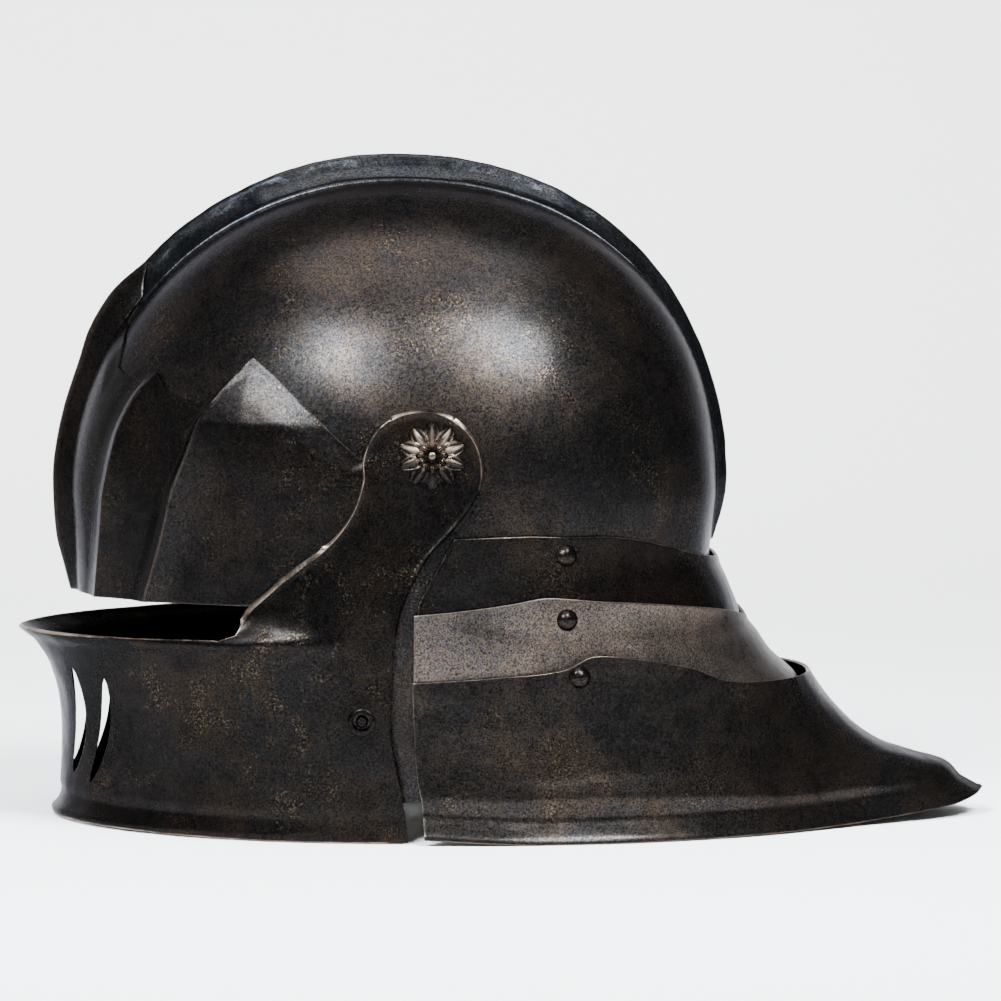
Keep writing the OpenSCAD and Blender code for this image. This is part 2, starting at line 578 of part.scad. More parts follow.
module liner_rivets() {
    long = 5.2;
    color(worn_steel) liner_rivet_places() {
        translate([0, 0, -0.2 - long]) cylinder(h = long, r = liner_rivet_r, $fn = pin_seg);
        translate([0, 0, -0.2 - long]) cylinder(h = 0.8, r = 3, $fn = pin_seg);
    }
}
cap_rows = 9;
cap_cols = 44;
cap_inset = 7.4;
cap_hem_z = 112;
function cap_grid() = [for (i = [0:cap_rows]) [for (j = [0:cap_cols - 1])
    skull_point(360 * j / cap_cols,
        bowl_z + bowl_h * cos(mix(7, acos((cap_hem_z - bowl_z) / bowl_h), i / cap_rows)))]];
module liner_cap() {
    color(linen) sheet_between(offset_grid(cap_grid(), -cap_inset, true),
        offset_grid(cap_grid(), -cap_inset - pad_t, true), closed = true, capped = true);
}

// ---- chin strap ----

strap_pin = [-54, 36];
strap_pin_r = 2;
strap_face = 92.5;      // middle of the strap's thickness at its rivet
// The straps' paths across the helmet, from their rivets down, as [y, z]
left_route = [[-strap_face, 44], [-strap_face, 34], [-91, 25], [-86, 15], [-78, 8], [-66, 4.2], [-50, 2.7],
    [-18, 2.5]];
right_route = [[strap_face, 44], [strap_face, 34], [91, 25], [86, 15], [78, 7.5], [66, 3.6], [50, 2.4],
    [14, 2.2],
    [0, 4.6], [-16, 5.7], [-40, 5.2], [-60, 5.9]];
function strap_section(path, s, width) =
    let (p = curve(path, s), d = unit(curve(path, min(1, s + 0.01)) - curve(path, max(0, s - 0.01))))
    let (n = [-d[1], d[0]] * strap_t / 2, x = strap_pin[0], w = width / 2)
    [[x - w, p[0] + n[0], p[1] + n[1]], [x + w, p[0] + n[0], p[1] + n[1]],
     [x + w, p[0] - n[0], p[1] - n[1]], [x - w, p[0] - n[0], p[1] - n[1]]];
module strap(route, steps) {
    path = measured(route);
    swept([for (i = [0:steps]) strap_section(path, i / steps, strap_w)]);
}
module strap_left() {
    color(tan_leather) difference() {
        strap(left_route, 22);
        across(strap_pin[0], strap_pin[1]) cylinder(h = through, r = strap_pin_r + run, $fn = pin_seg);
    }
}
module strap_right() {
    color(tan_leather) difference() {
        strap(right_route, 34);
        mirror([0, 1, 0]) across(strap_pin[0], strap_pin[1])
            cylinder(h = through, r = strap_pin_r + run, $fn = pin_seg);
    }
}
buckle_y = -14;
module buckle_frame() {
    color(brass) translate([strap_pin[0], buckle_y, 8.2]) difference() {
        cube([strap_w + 8, 22, 2], center = true);
        cube([strap_w + 2, 16, 4], center = true);
    }
}
module buckle_tongue() {
    color(brass) translate([strap_pin[0], buckle_y, 9.9]) rotate([90, 0, 0])
        cylinder(h = 21, r = 1, $fn = 24, center = true);
}
module strap_keeper() {
    color(tan_leather) translate([strap_pin[0], -42, 3.9]) difference() {
        cube([strap_w + 3, 8, 6.8], center = true);
        cube([strap_w + 0.4, 10, 5.4], center = true);
    }
}
module strap_rivets() {
    color(worn_steel) both_sides() {
        across(strap_pin[0], strap_pin[1], -89.4) cylinder(h = 10.2, r = strap_pin_r, $fn = pin_seg);
        across(strap_pin[0], strap_pin[1], -98.9) cylinder(h = 1.6, r1 = 3.6, r2 = 2.6, $fn = pin_seg);
    }
}
module strap_washers() {
    color(worn_steel) both_sides() across(strap_pin[0], strap_pin[1], -90) ring(1, 5, strap_pin_r);
}

skull();
comb();
brow_plate();
visor();
upper_lame();
middle_lame();
tail_plate();
pivot_pins();
rosettes();
pivot_spacers();
pivot_washers();
upper_rivets();
upper_washers();
middle_rivets();
middle_washers();
tail_rivets();
tail_washers();
catch_spring();
catch_spring_rivet();
catch_stud();
liner_band();
liner_cap();
liner_rivets();
strap_left();
strap_right();
buckle_frame();
buckle_tongue();
strap_keeper();
strap_rivets();
strap_washers();
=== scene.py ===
"""Looks for the dark steel sallet: detailed plates, materials, light and camera, round the CAD frame.

Plate shapes repeat the CAD part's own surface formulas in millimetres, at a finer step and with relief.
+X runs to the tail, -X to the face, +Z up; the near side is -Y.
"""
import math

import bmesh
import bpy
import numpy as np
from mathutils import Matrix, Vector, noise


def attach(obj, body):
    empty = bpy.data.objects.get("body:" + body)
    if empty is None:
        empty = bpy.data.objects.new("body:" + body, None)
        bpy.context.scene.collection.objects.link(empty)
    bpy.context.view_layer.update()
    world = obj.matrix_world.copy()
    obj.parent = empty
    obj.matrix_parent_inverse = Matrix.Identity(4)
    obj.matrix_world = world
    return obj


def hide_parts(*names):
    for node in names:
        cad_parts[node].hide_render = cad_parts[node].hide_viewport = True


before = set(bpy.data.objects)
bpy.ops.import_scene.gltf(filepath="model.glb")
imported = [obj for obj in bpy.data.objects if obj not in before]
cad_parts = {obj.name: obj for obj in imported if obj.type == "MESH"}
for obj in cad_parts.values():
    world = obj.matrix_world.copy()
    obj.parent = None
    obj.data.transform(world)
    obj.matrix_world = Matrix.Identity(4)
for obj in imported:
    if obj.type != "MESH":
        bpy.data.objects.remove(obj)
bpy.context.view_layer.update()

MM = 0.001
SHEET = 1.4                        # thickness of every plate
MIRROR = np.array([1, -1, 1])      # turns a near point into a far one


# ---- curves and tables ----

def ease(x):
    """Smooth step from 0 to 1 as x goes from 0 to 1."""
    t = np.clip(x, 0, 1)
    return t * t * (3 - 2 * t)


def mix(a, b, t):
    """From a to b as t goes from 0 to 1."""
    return a + (b - a) * t


def arch(t, n):
    """Falls from 1 to 0 along a superellipse as t goes from 0 to 1."""
    return np.clip(1 - np.clip(t, 0, None) ** n, 0, None) ** (1 / n)


def spow(x, p):
    """Power of the size of x, with the sign of x."""
    return np.sign(x) * np.abs(x) ** p


def curve(table, x):
    """Smooth curve through rows of (x, value); a value may be a point."""
    xs = np.array([row[0] for row in table], float)
    ys = np.array([row[1] for row in table], float)
    slopes = np.empty_like(ys)
    for i in range(len(xs)):
        a = max(i - 1, 0)
        b = min(i + 1, len(xs) - 1)
        slopes[i] = (ys[b] - ys[a]) / (xs[b] - xs[a])
    x = np.asarray(x, float)
    i = np.clip(np.searchsorted(xs, x, side="right") - 1, 0, len(xs) - 2)
    h = xs[i + 1] - xs[i]
    s = np.clip((x - xs[i]) / h, 0, 1)
    if ys.ndim > 1:
        h = h[..., None]
        s = s[..., None]
    s2 = s * s
    s3 = s2 * s
    return (ys[i] * (2 * s3 - 3 * s2 + 1) + slopes[i] * h * (s3 - 2 * s2 + s)
            + ys[i + 1] * (3 * s2 - 2 * s3) + slopes[i + 1] * h * (s3 - s2))


def straight(table, x):
    """Straight lines through rows of (x, value)."""
    return np.interp(x, [row[0] for row in table], [row[1] for row in table])


def measured(points):
    """The points of a path, each with its share of the path's length."""
    p = np.array(points, float)
    steps = np.linalg.norm(np.diff(p, axis=0), axis=1)
    share = np.concatenate([[0], np.cumsum(steps)]) / steps.sum()
    return [(s, q) for s, q in zip(share, p)]


def sin_d(a):
    """Sine of an angle in degrees."""
    return np.sin(np.radians(a))


def cos_d(a):
    """Cosine of an angle in degrees."""
    return np.cos(np.radians(a))


# ---- meshes from grids ----
# A grid is an array of rows from the top down; each row runs clockwise seen from above.

def grid_normals(g, closed=False):
    """Outward directions at a grid's points; closed joins its last column to its first."""
    if closed:
        across = np.roll(g, -1, axis=1) - np.roll(g, 1, axis=1)
    else:
        across = np.gradient(g, axis=1)
    n = np.cross(across, np.gradient(g, axis=0))
    return n / np.maximum(np.linalg.norm(n, axis=2, keepdims=True), 1e-12)


def waves(points, size, seed):
    """Smooth noise between about -1 and 1 at each point, with lumps about size mm across."""
    flat = points.reshape(-1, 3) / size
    shift = Vector((seed * 7.3, seed * 3.1, seed * 5.7))
    values = [noise.noise(Vector(p) + shift) for p in flat]
    return np.array(values).reshape(points.shape[:-1])


def in_scene(name, data):
    """A new object in the scene."""
    obj = bpy.data.objects.new(name, data)
    bpy.context.scene.collection.objects.link(obj)
    return obj


def make_object(name, verts, faces):
    """An object in the scene from points in metres and faces."""
    mesh = bpy.data.meshes.new(name)
    mesh.from_pydata([tuple(v) for v in verts], [], faces)
    mesh.update()
    return in_scene(name, mesh)


def unfolded(half, flip=1):
    """A half grid on both sides of its first column, with the far side multiplied by flip."""
    return np.concatenate([half[:, :0:-1], half * flip], axis=1)


def circle(r, z, steps):
    """Points on a circle about Z."""
    turns = [2 * math.pi * k / steps for k in range(steps)]
    return [(r * math.cos(a), r * math.sin(a), z) for a in turns]


def ring_faces(rings, count, closed=False):
    """Faces between rings of count points; closed joins the last ring to the first."""
    faces = []
    for i in range(rings if closed else rings - 1):
        j = (i + 1) % rings
        for k in range(count):
            m = (k + 1) % count
            faces.append((i * count + k, i * count + m, j * count + m, j * count + k))
    return faces


def face_object(name, g, keep=None, closed=False, capped=False):
    """The outer face of a plate. keep marks the cells that exist."""
    rows, cols = g.shape[:2]
    cells = cols if closed else cols - 1
    faces = []
    for i in range(rows - 1):
        for j in range(cells):
            if keep is None or keep[i, j]:
                k = (j + 1) % cols
                faces.append((i * cols + j, i * cols + k, (i + 1) * cols + k, (i + 1) * cols + j))
    if capped:
        faces.append(tuple(range(cols - 1, -1, -1)))
    obj = make_object(name, g.reshape(-1, 3) * MM, faces)
    bm = bmesh.new()
    bm.from_mesh(obj.data)
    loose = [v for v in bm.verts if not v.link_faces]
    bmesh.ops.delete(bm, geom=loose, context="VERTS")
    if capped:
        lid = [f for f in bm.faces if len(f.verts) > 4]
        bmesh.ops.recalc_face_normals(bm, faces=bm.faces)
        bmesh.ops.triangulate(bm, faces=lid)
    bm.to_mesh(obj.data)
    bm.free()
    return obj


def mark_edges(obj, reach=3.0, kept=None):
    """Stores how near each point is to the plate's free edge, from 1 at the edge to 0 at reach mm.

    kept gives the share of that pale edge which is left at each point; on the visor the pale edge is partly a
    painted highlight, and kept lowers it on edges that face away from the lights.
    """
    mesh = obj.data
    bm = bmesh.new()
    bm.from_mesh(mesh)
    rim = np.array([v.co[:] for v in bm.verts if v.is_boundary])
    bm.free()
    points = np.array([v.co[:] for v in mesh.vertices])
    near = np.full(len(points), 1.0)
    chunk = 4000
    for start in range(0, len(points), chunk):
        block = points[start:start + chunk]
        gaps = np.linalg.norm(block[:, None, :] - rim[None, :, :], axis=2).min(axis=1)
        near[start:start + chunk] = gaps
    worn = np.clip(1 - near / (reach * MM), 0, 1)
    if kept is not None:
        worn = worn * kept(points / MM)
    layer = mesh.attributes.new("edge", "FLOAT", "POINT")
    layer.data.foreach_set("value", worn.astype(np.float32))


def store(obj, name, values):
    """Stores one number for each point, for the materials to read."""
    layer = obj.data.attributes.new(name, "FLOAT", "POINT")
    layer.data.foreach_set("value", np.asarray(values, np.float32).ravel())


def settle(obj, sharp=40):
    """Applies the object's modifiers and sets smooth shading with sharp edges over an angle."""
    depsgraph = bpy.context.evaluated_depsgraph_get()
    mesh = bpy.data.meshes.new_from_object(obj.evaluated_get(depsgraph))
    old = obj.data
    obj.modifiers.clear()
    obj.data = mesh
    bpy.data.meshes.remove(old)
    mesh.name = obj.name
    mesh.shade_smooth()
    mesh.set_sharp_from_angle(angle=math.radians(sharp))
    return obj


def thicken(obj, thickness=SHEET, bevel=0.35, cutters=()):
    """Turns an outer face into a plate with eased edges, cut by the cutters."""
    solid = obj.modifiers.new("sheet", "SOLIDIFY")
    solid.thickness = thickness * MM
    solid.offset = -1
    solid.use_even_offset = False
    if bevel:
        edge = obj.modifiers.new("eased", "BEVEL")
        edge.width = bevel * MM
        edge.segments = 2
        edge.limit_method = "ANGLE"
        edge.angle_limit = math.radians(55)
    for k, cutter in enumerate(cutters):
        cut = obj.modifiers.new(f"cut{k}", "BOOLEAN")
        cut.operation = "DIFFERENCE"
        cut.solver = "EXACT"
        cut.object = cutter
    settle(obj)
    for cutter in cutters:
        old = cutter.data
        bpy.data.objects.remove(cutter)
        bpy.data.meshes.remove(old)
    return obj


def lathe(profile, steps=48):
    """Points and faces turned about Z from (radius, height) rows that start and end on the axis."""
    verts = []
    faces = []
    rings = []
    for r, z in profile:
        if r < 1e-9:
            rings.append([len(verts)])
            verts.append((0, 0, z))
        else:
            rings.append(list(range(len(verts), len(verts) + steps)))
            verts += circle(r, z, steps)
    for a, b in zip(rings, rings[1:]):
        for k in range(steps):
            n = (k + 1) % steps
            if len(a) == 1:
                faces.append((a[0], b[n], b[k]))
            elif len(b) == 1:
                faces.append((a[k], a[n], b[0]))
            else:
                faces.append((a[k], a[n], b[n], b[k]))
    return np.array(verts), faces


def placed(verts, origin, axis):
    """Moves verts made about Z so that Z lies along axis at origin."""
    turn = np.array(Vector((0, 0, 1)).rotation_difference(Vector(axis)).to_matrix())
    return np.asarray(verts) @ turn.T + np.array(origin)


def merged(name, parts):
    """One object from several (verts in mm, faces)."""
    verts = []
    faces = []
    for v, f in parts:
        base = len(verts)
        verts += [tuple(p) for p in np.asarray(v) * MM]
        faces += [tuple(base + k for k in face) for face in f]
    obj = make_object(name, verts, faces)
    bm = bmesh.new()
    bm.from_mesh(obj.data)
    bmesh.ops.recalc_face_normals(bm, faces=bm.faces)
    bm.to_mesh(obj.data)
    bm.free()
    return obj


def mirror_parts(parts):
    """The parts and their mirror images on the far side."""
    far = [(np.asarray(v) * MIRROR, [tuple(reversed(face)) for face in f]) for v, f in parts]
    return parts + far


# ---- materials ----

class Nodes:
    """A short way to build a node tree."""

    def __init__(self, name):
        self.mat = bpy.data.materials.new(name)
        self.mat.use_nodes = True
        self.tree = self.mat.node_tree
        self.tree.nodes.clear()
        self.out = self.add("ShaderNodeOutputMaterial")
        self.shader = self.add("ShaderNodeBsdfPrincipled")
        self.link(self.shader.outputs[0], self.out.inputs[0])
        self.coords = self.add("ShaderNodeTexCoord").outputs["Object"]

    def add(self, kind, **values):
        node = self.tree.nodes.new(kind)
        for key, value in values.items():
            setattr(node, key, value)
        return node

    def link(self, a, b):
        self.tree.links.new(a, b)

    def set(self, node, key, value):
        socket = node.inputs[key]
        if isinstance(value, bpy.types.NodeSocket):
            self.link(value, socket)
        else:
            socket.default_value = value

    def fill(self, node, **inputs):
        """Sets several inputs, with underscores for the spaces in their names."""
        for key, value in inputs.items():
            self.set(node, key.replace("_", " "), value)

    def stretched(self, scale):
        """The object coordinates times a scale for each axis."""
        node = self.add("ShaderNodeMapping")
        self.fill(node, Vector=self.coords, Scale=scale)
        return node.outputs[0]

    def noise(self, scale, detail=4, rough=0.55, distort=0.0, vector=None):
        node = self.add("ShaderNodeTexNoise")
        self.fill(node, Vector=vector or self.coords, Scale=scale, Detail=detail, Roughness=rough,
                  Distortion=distort)
        return node.outputs["Fac"]

    def cells(self, scale, feature="F1", vector=None):
        node = self.add("ShaderNodeTexVoronoi", feature=feature)
        self.fill(node, Vector=vector or self.coords, Scale=scale)
        return node.outputs["Distance"]

    def band(self, value, low, high, out_low=0.0, out_high=1.0):
        """Maps low..high to out_low..out_high, smoothly and clamped."""
        node = self.add("ShaderNodeMapRange", interpolation_type="SMOOTHSTEP")
        self.fill(node, Value=value, From_Min=low, From_Max=high, To_Min=out_low, To_Max=out_high)
        return node.outputs[0]

    def math(self, kind, a, b=0.0):
        node = self.add("ShaderNodeMath", operation=kind)
        self.set(node, 0, a)
        self.set(node, 1, b)
        return node.outputs[0]

    def blend(self, amount, a, b):
        """Colour a turning to b as amount goes from 0 to 1."""
        node = self.add("ShaderNodeMix", data_type="RGBA")
        self.set(node, "Factor", amount)
        self.set(node, "A", a)
        self.set(node, "B", b)
        return node.outputs["Result"]

    def tinted(self, color, amount):
        """The colour made darker or lighter by a factor."""
        node = self.add("ShaderNodeMix", data_type="RGBA", blend_type="MULTIPLY")
        node.inputs["Factor"].default_value = 1.0
        self.set(node, "A", color)
        self.set(node, "B", amount)
        return node.outputs["Result"]

    def attribute(self, name):
        return self.add("ShaderNodeAttribute", attribute_name=name).outputs["Fac"]

    def bump(self, height, strength, distance, below=None):
        node = self.add("ShaderNodeBump")
        self.fill(node, Height=height, Strength=strength, Distance=distance)
        if below:
            self.link(below, node.inputs["Normal"])
        return node.outputs[0]

    def finish(self, color, rough, normal, **fixed):
        self.set(self.shader, "Base Color", color)
        self.set(self.shader, "Roughness", rough)
        self.set(self.shader, "Normal", normal)
        self.fill(self.shader, **fixed)
        return self.mat


def rgb(r, g, b):
    """An opaque colour."""
    return (r, g, b, 1.0)


def darker(color, share):
    """The colour times a share."""
    return tuple(share * c for c in color[:3]) + (1.0,)


RUST = rgb(0.105, 0.075, 0.05)
RUST_SPECK = rgb(0.16, 0.125, 0.09)
# Colour of the pale edges and crests: bare steel from wear, and also a painted highlight on the visor's edges
# and the rosettes' upper rims.
BARE_STEEL_AND_GLINT = rgb(0.22, 0.165, 0.13)


def patina(name, dark, brown, ochre=0.35, pits=1.0, shine=0.22, worn=0.5, hammer=0.0):
    """Oxidised steel: dark mottling, brown stains, ochre flecks, fine pits and pale edges and crests, bare
    from wear, which on the visor's edges and the rosettes' upper rims are also a painted highlight.
    """
    n = Nodes(name)
    stains = n.noise(26, detail=6, rough=0.66, distort=0.5)
    clouds = n.noise(75, detail=6, rough=0.72)
    grain = n.noise(520, detail=4, rough=0.72)
    fine = n.noise(1900, detail=3, rough=0.65)
    base = n.blend(n.band(stains, 0.36, 0.7), dark, brown)
    base = n.blend(n.band(clouds, 0.42, 0.72, 0.0, 0.7), base, darker(dark, 0.45))
    patches = n.math("MULTIPLY", n.band(clouds, 0.46, 0.62), n.band(n.noise(34, detail=3), 0.45, 0.6))
    rust = n.math("MULTIPLY", n.band(n.noise(1100, detail=3, rough=0.7), 0.5, 0.66), patches)
    base = n.blend(n.math("MULTIPLY", rust, ochre), base, RUST)
    speck = n.math("MULTIPLY", n.band(n.cells(900), 0.2, 0.1), patches)
    base = n.blend(n.math("MULTIPLY", speck, ochre), base, RUST_SPECK)
    hue = n.band(n.noise(700, detail=3, rough=0.8), 0.42, 0.58)
    base = n.tinted(base, n.blend(hue, rgb(0.93, 0.97, 1.07), rgb(1.1, 1.02, 0.9)))
    base = n.tinted(base, n.band(n.noise(1400, detail=3, rough=0.85), 0.36, 0.64, 0.3, 1.9))
    edge = n.attribute("edge")
    # Pale edges and crests: wear, and on the visor's edges and the rosettes' upper rims also a painted
    # highlight.
    rubbed_and_glint = n.math("MULTIPLY", n.band(edge, 0.78, 0.99), n.band(clouds, 0.36, 0.64, 0.08, 1.0))
    crest = n.attribute("crest")
    rubbed_and_glint = n.math("MAXIMUM", rubbed_and_glint, n.math("MULTIPLY", crest, n.band(grain, 0.3, 0.6, 0.35, 1.0)))
    base = n.blend(n.math("MULTIPLY", rubbed_and_glint, worn), base, BARE_STEEL_AND_GLINT)
    rough = n.math("ADD", n.band(stains, 0.3, 0.7, shine - 0.02, shine + 0.05),
                   n.band(grain, 0.35, 0.7, 0.0, 0.07))
    rough = n.math("ADD", rough, n.math("MULTIPLY", speck, 0.25))
    height = n.math("ADD", n.math("MULTIPLY", grain, 0.5), n.math("MULTIPLY", fine, 0.5))
    height = n.math("SUBTRACT", height, n.math("MULTIPLY", n.band(n.cells(460), 0.2, 0.05), 0.35))
    normal = n.bump(height, 0.035 * pits, 0.0004)
    if hammer:
        normal = n.bump(n.cells(95), hammer, 0.0012, below=normal)
    return n.finish(base, rough, normal, Metallic=0.9, Specular_IOR_Level=0.25,
                    Specular_Tint=rgb(0.4, 0.4, 0.42))


def leather(name, dark, light, grain=900):
    """Oiled leather with a pebbled grain and dark crease marks."""
    n = Nodes(name)
    cloud = n.noise(70, detail=5)
    pebbles = n.cells(grain, feature="SMOOTH_F1")
    creases = n.noise(260, detail=5, rough=0.7, distort=0.8)
    base = n.blend(n.band(cloud, 0.3, 0.7), dark, light)
    base = n.blend(n.band(creases, 0.55, 0.75, 0.0, 0.6), base, darker(dark, 0.4))
    rough = n.band(cloud, 0.3, 0.7, 0.48, 0.66)
    normal = n.bump(n.math("ADD", pebbles, n.math("MULTIPLY", creases, 0.7)), 0.35, 0.0005)
    return n.finish(base, rough, normal)


def linen(name):
    """Unbleached woven linen, with slubs in both directions."""
    n = Nodes(name)
    warp = n.add("ShaderNodeTexWave", wave_type="BANDS", bands_direction="X")
    weft = n.add("ShaderNodeTexWave", wave_type="BANDS", bands_direction="Z")
    side = n.add("ShaderNodeTexWave", wave_type="BANDS", bands_direction="Y")
    for wave in (warp, weft, side):
        n.fill(wave, Vector=n.coords, Scale=420, Distortion=1.5, Detail=2)
    weave = n.math("ADD", warp.outputs["Fac"], weft.outputs["Fac"])
    weave = n.math("MULTIPLY", n.math("ADD", weave, side.outputs["Fac"]), 0.33)
    stain = n.noise(30, detail=5)
    base = n.blend(n.band(stain, 0.35, 0.7), rgb(0.6, 0.52, 0.38), rgb(0.42, 0.35, 0.24))
    base = n.blend(n.band(weave, 0.3, 0.7, 0.0, 0.35), base, rgb(0.3, 0.25, 0.17))
    normal = n.bump(weave, 0.5, 0.0004)
    return n.finish(base, n.band(stain, 0.3, 0.7, 0.82, 0.95), normal, Sheen_Weight=0.25)


def thread(name):
    """Waxed linen thread, twisted."""
    n = Nodes(name)
    twist = n.noise(2400, detail=2)
    base = n.blend(n.band(twist, 0.35, 0.65), rgb(0.62, 0.54, 0.4), rgb(0.36, 0.3, 0.2))
    return n.finish(base, n.band(twist, 0.3, 0.7, 0.6, 0.8), n.bump(twist, 0.5, 0.0002))


def aged_brass(name):
    """Brass gone brown in the hollows, with scratches."""
    n = Nodes(name)
    tarnish = n.noise(160, detail=6, rough=0.65)
    scratch = n.noise(900, detail=3, vector=n.stretched((1, 0.06, 1)))
    base = n.blend(n.band(tarnish, 0.4, 0.66), rgb(0.52, 0.36, 0.13), rgb(0.14, 0.09, 0.04))
    rough = n.math("ADD", n.band(tarnish, 0.35, 0.7, 0.28, 0.52), n.band(scratch, 0.5, 0.7, 0.0, 0.08))
    return n.finish(base, rough, n.bump(scratch, 0.2, 0.0002), Metallic=0.95)


SKULL_STEEL = patina("skull_steel", rgb(0.0095, 0.0092, 0.0096), rgb(0.0175, 0.0136, 0.0115),
                     ochre=0.38, shine=0.24, worn=0.15)
COMB_STEEL = patina("comb_steel", rgb(0.0105, 0.0115, 0.0135), rgb(0.015, 0.0155, 0.017),
                    ochre=0.08, shine=0.2, worn=0.1, pits=0.8, hammer=0.25)
BROW_STEEL = patina("brow_steel", rgb(0.0058, 0.0055, 0.0057), rgb(0.0098, 0.0077, 0.0065),
                    ochre=0.3, worn=0.2)
# The visor's pale edges are strong: partly wear and partly a painted highlight on the edges that face the
# lights.
VISOR_STEEL = patina("visor_steel", rgb(0.0044, 0.0041, 0.0041), rgb(0.0082, 0.0061, 0.0049),
                     ochre=0.3, pits=1.4, shine=0.26, worn=0.9)
LAME_STEEL = patina("lame_steel", rgb(0.0062, 0.0058, 0.0057), rgb(0.0105, 0.008, 0.0066),
                    ochre=0.3, shine=0.25, worn=0.35)
# Painted sheen: the middle lame's steel is the lame steel painted several times lighter, for the light that
# its tilt catches.
MIDDLE_LAME_SHEEN = patina("middle_lame_painted_sheen", rgb(0.042, 0.037, 0.0345), rgb(0.068, 0.053, 0.045),
                      ochre=0.35, shine=0.29, worn=0.35)
TAIL_STEEL = patina("tail_steel", rgb(0.0105, 0.0101, 0.0101), rgb(0.0175, 0.0134, 0.0109),
                    ochre=0.35, pits=1.5, shine=0.25, worn=0.35)
FITTING_STEEL = patina("fitting_steel", rgb(0.012, 0.0112, 0.0112), rgb(0.02, 0.0155, 0.013),
                       ochre=0.25, worn=0.8)
ROSETTE_STEEL = patina("rosette_steel", rgb(0.005, 0.0046, 0.0045), rgb(0.009, 0.0068, 0.0052),
                       ochre=0.2, worn=1.0)
RIVET_STEEL = patina("rivet_steel", rgb(0.006, 0.0056, 0.0056), rgb(0.0098, 0.0078, 0.0066),
                     ochre=0.2, worn=0.3)
STRAP_LEATHER = leather("strap_leather", rgb(0.11, 0.055, 0.026), rgb(0.19, 0.1, 0.05))
LINER_LEATHER = leather("liner_leather", rgb(0.2, 0.12, 0.06), rgb(0.3, 0.19, 0.1), grain=700)
LINEN = linen("liner_linen")
THREAD = thread("waxed_thread")
BRASS = aged_brass("aged_brass")


def stands_for(obj, material, body, slot, *nodes):
    """Gives the piece its material and body, in place of the CAD nodes that it redraws; slot is not used."""
    obj.data.materials.clear()
    obj.data.materials.append(material)
    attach(obj, body)
    if nodes:
        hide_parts(*nodes)


# ---- the skull's surface ----

SKULL_TOP = 240
BOWL_X = -39.5
BOWL_Z = 122
BOWL_R = 121.5
BOWL_H = SKULL_TOP - BOWL_Z
SKULL_HALF = 100
WIDE_X = -30
WIDE_Z = 130
FRONT_LEAN = 0.06       # how the outline draws in below the bowl, for each millimetre down
REAR_LEAN = 0.13
REAR_ARCH = 2.25
SIDE_ARCH = 2.1
TUCK = 1.2              # how far the sides draw in below TUCK_Z
TUCK_Z = 85
REAR_SQUARE = 2.25      # how square the rear half is from above
CATCH = (-50.3, 44.5)


def skull_front(z):
    """X of the skull's front outline."""
    return np.where(z < BOWL_Z, BOWL_X - BOWL_R + FRONT_LEAN * (BOWL_Z - z),
                    BOWL_X - BOWL_R * arch((z - BOWL_Z) / BOWL_H, 2))


def skull_rear(z):
    """X of the skull's rear outline."""
    return np.where(z < BOWL_Z, BOWL_X + BOWL_R - REAR_LEAN * (BOWL_Z - z),
                    BOWL_X + BOWL_R * arch((z - BOWL_Z) / BOWL_H, REAR_ARCH))


def skull_half(z):
    """Half of the skull's width."""
    return np.where(z < WIDE_Z, SKULL_HALF - TUCK * ease((TUCK_Z - z) / TUCK_Z),
                    SKULL_HALF * arch((z - WIDE_Z) / (SKULL_TOP - WIDE_Z), SIDE_ARCH))


def skull_mid(z):
    """X where the skull is widest."""
    return mix(WIDE_X, BOWL_X, ease((z - WIDE_Z) / (SKULL_TOP - WIDE_Z)))


def skull_point(angle, z):
    """Point at height z; the angle is 0 behind, 90 at the near side and 180 in front."""
    angle, z = np.broadcast_arrays(np.asarray(angle, float), np.asarray(z, float))
    c = cos_d(angle)
    s = sin_d(angle)
    m = np.where(c > 0, 2 / REAR_SQUARE, 1.0)
    mid = skull_mid(z)
    reach = np.where(c > 0, skull_rear(z) - mid, mid - skull_front(z))
    return np.stack([mid + reach * spow(c, m), -skull_half(z) * spow(s, m), z], axis=-1)


def catch_cutter(radius):
    """A round bar through the near side where the catch's stud passes."""
    bar, faces = lathe([(0, 0), (radius, 0), (radius, 20), (0, 20)])
    return merged("catch_cutter", [(placed(bar, (CATCH[0], -92, CATCH[1]), (0, -1, 0)), faces)])


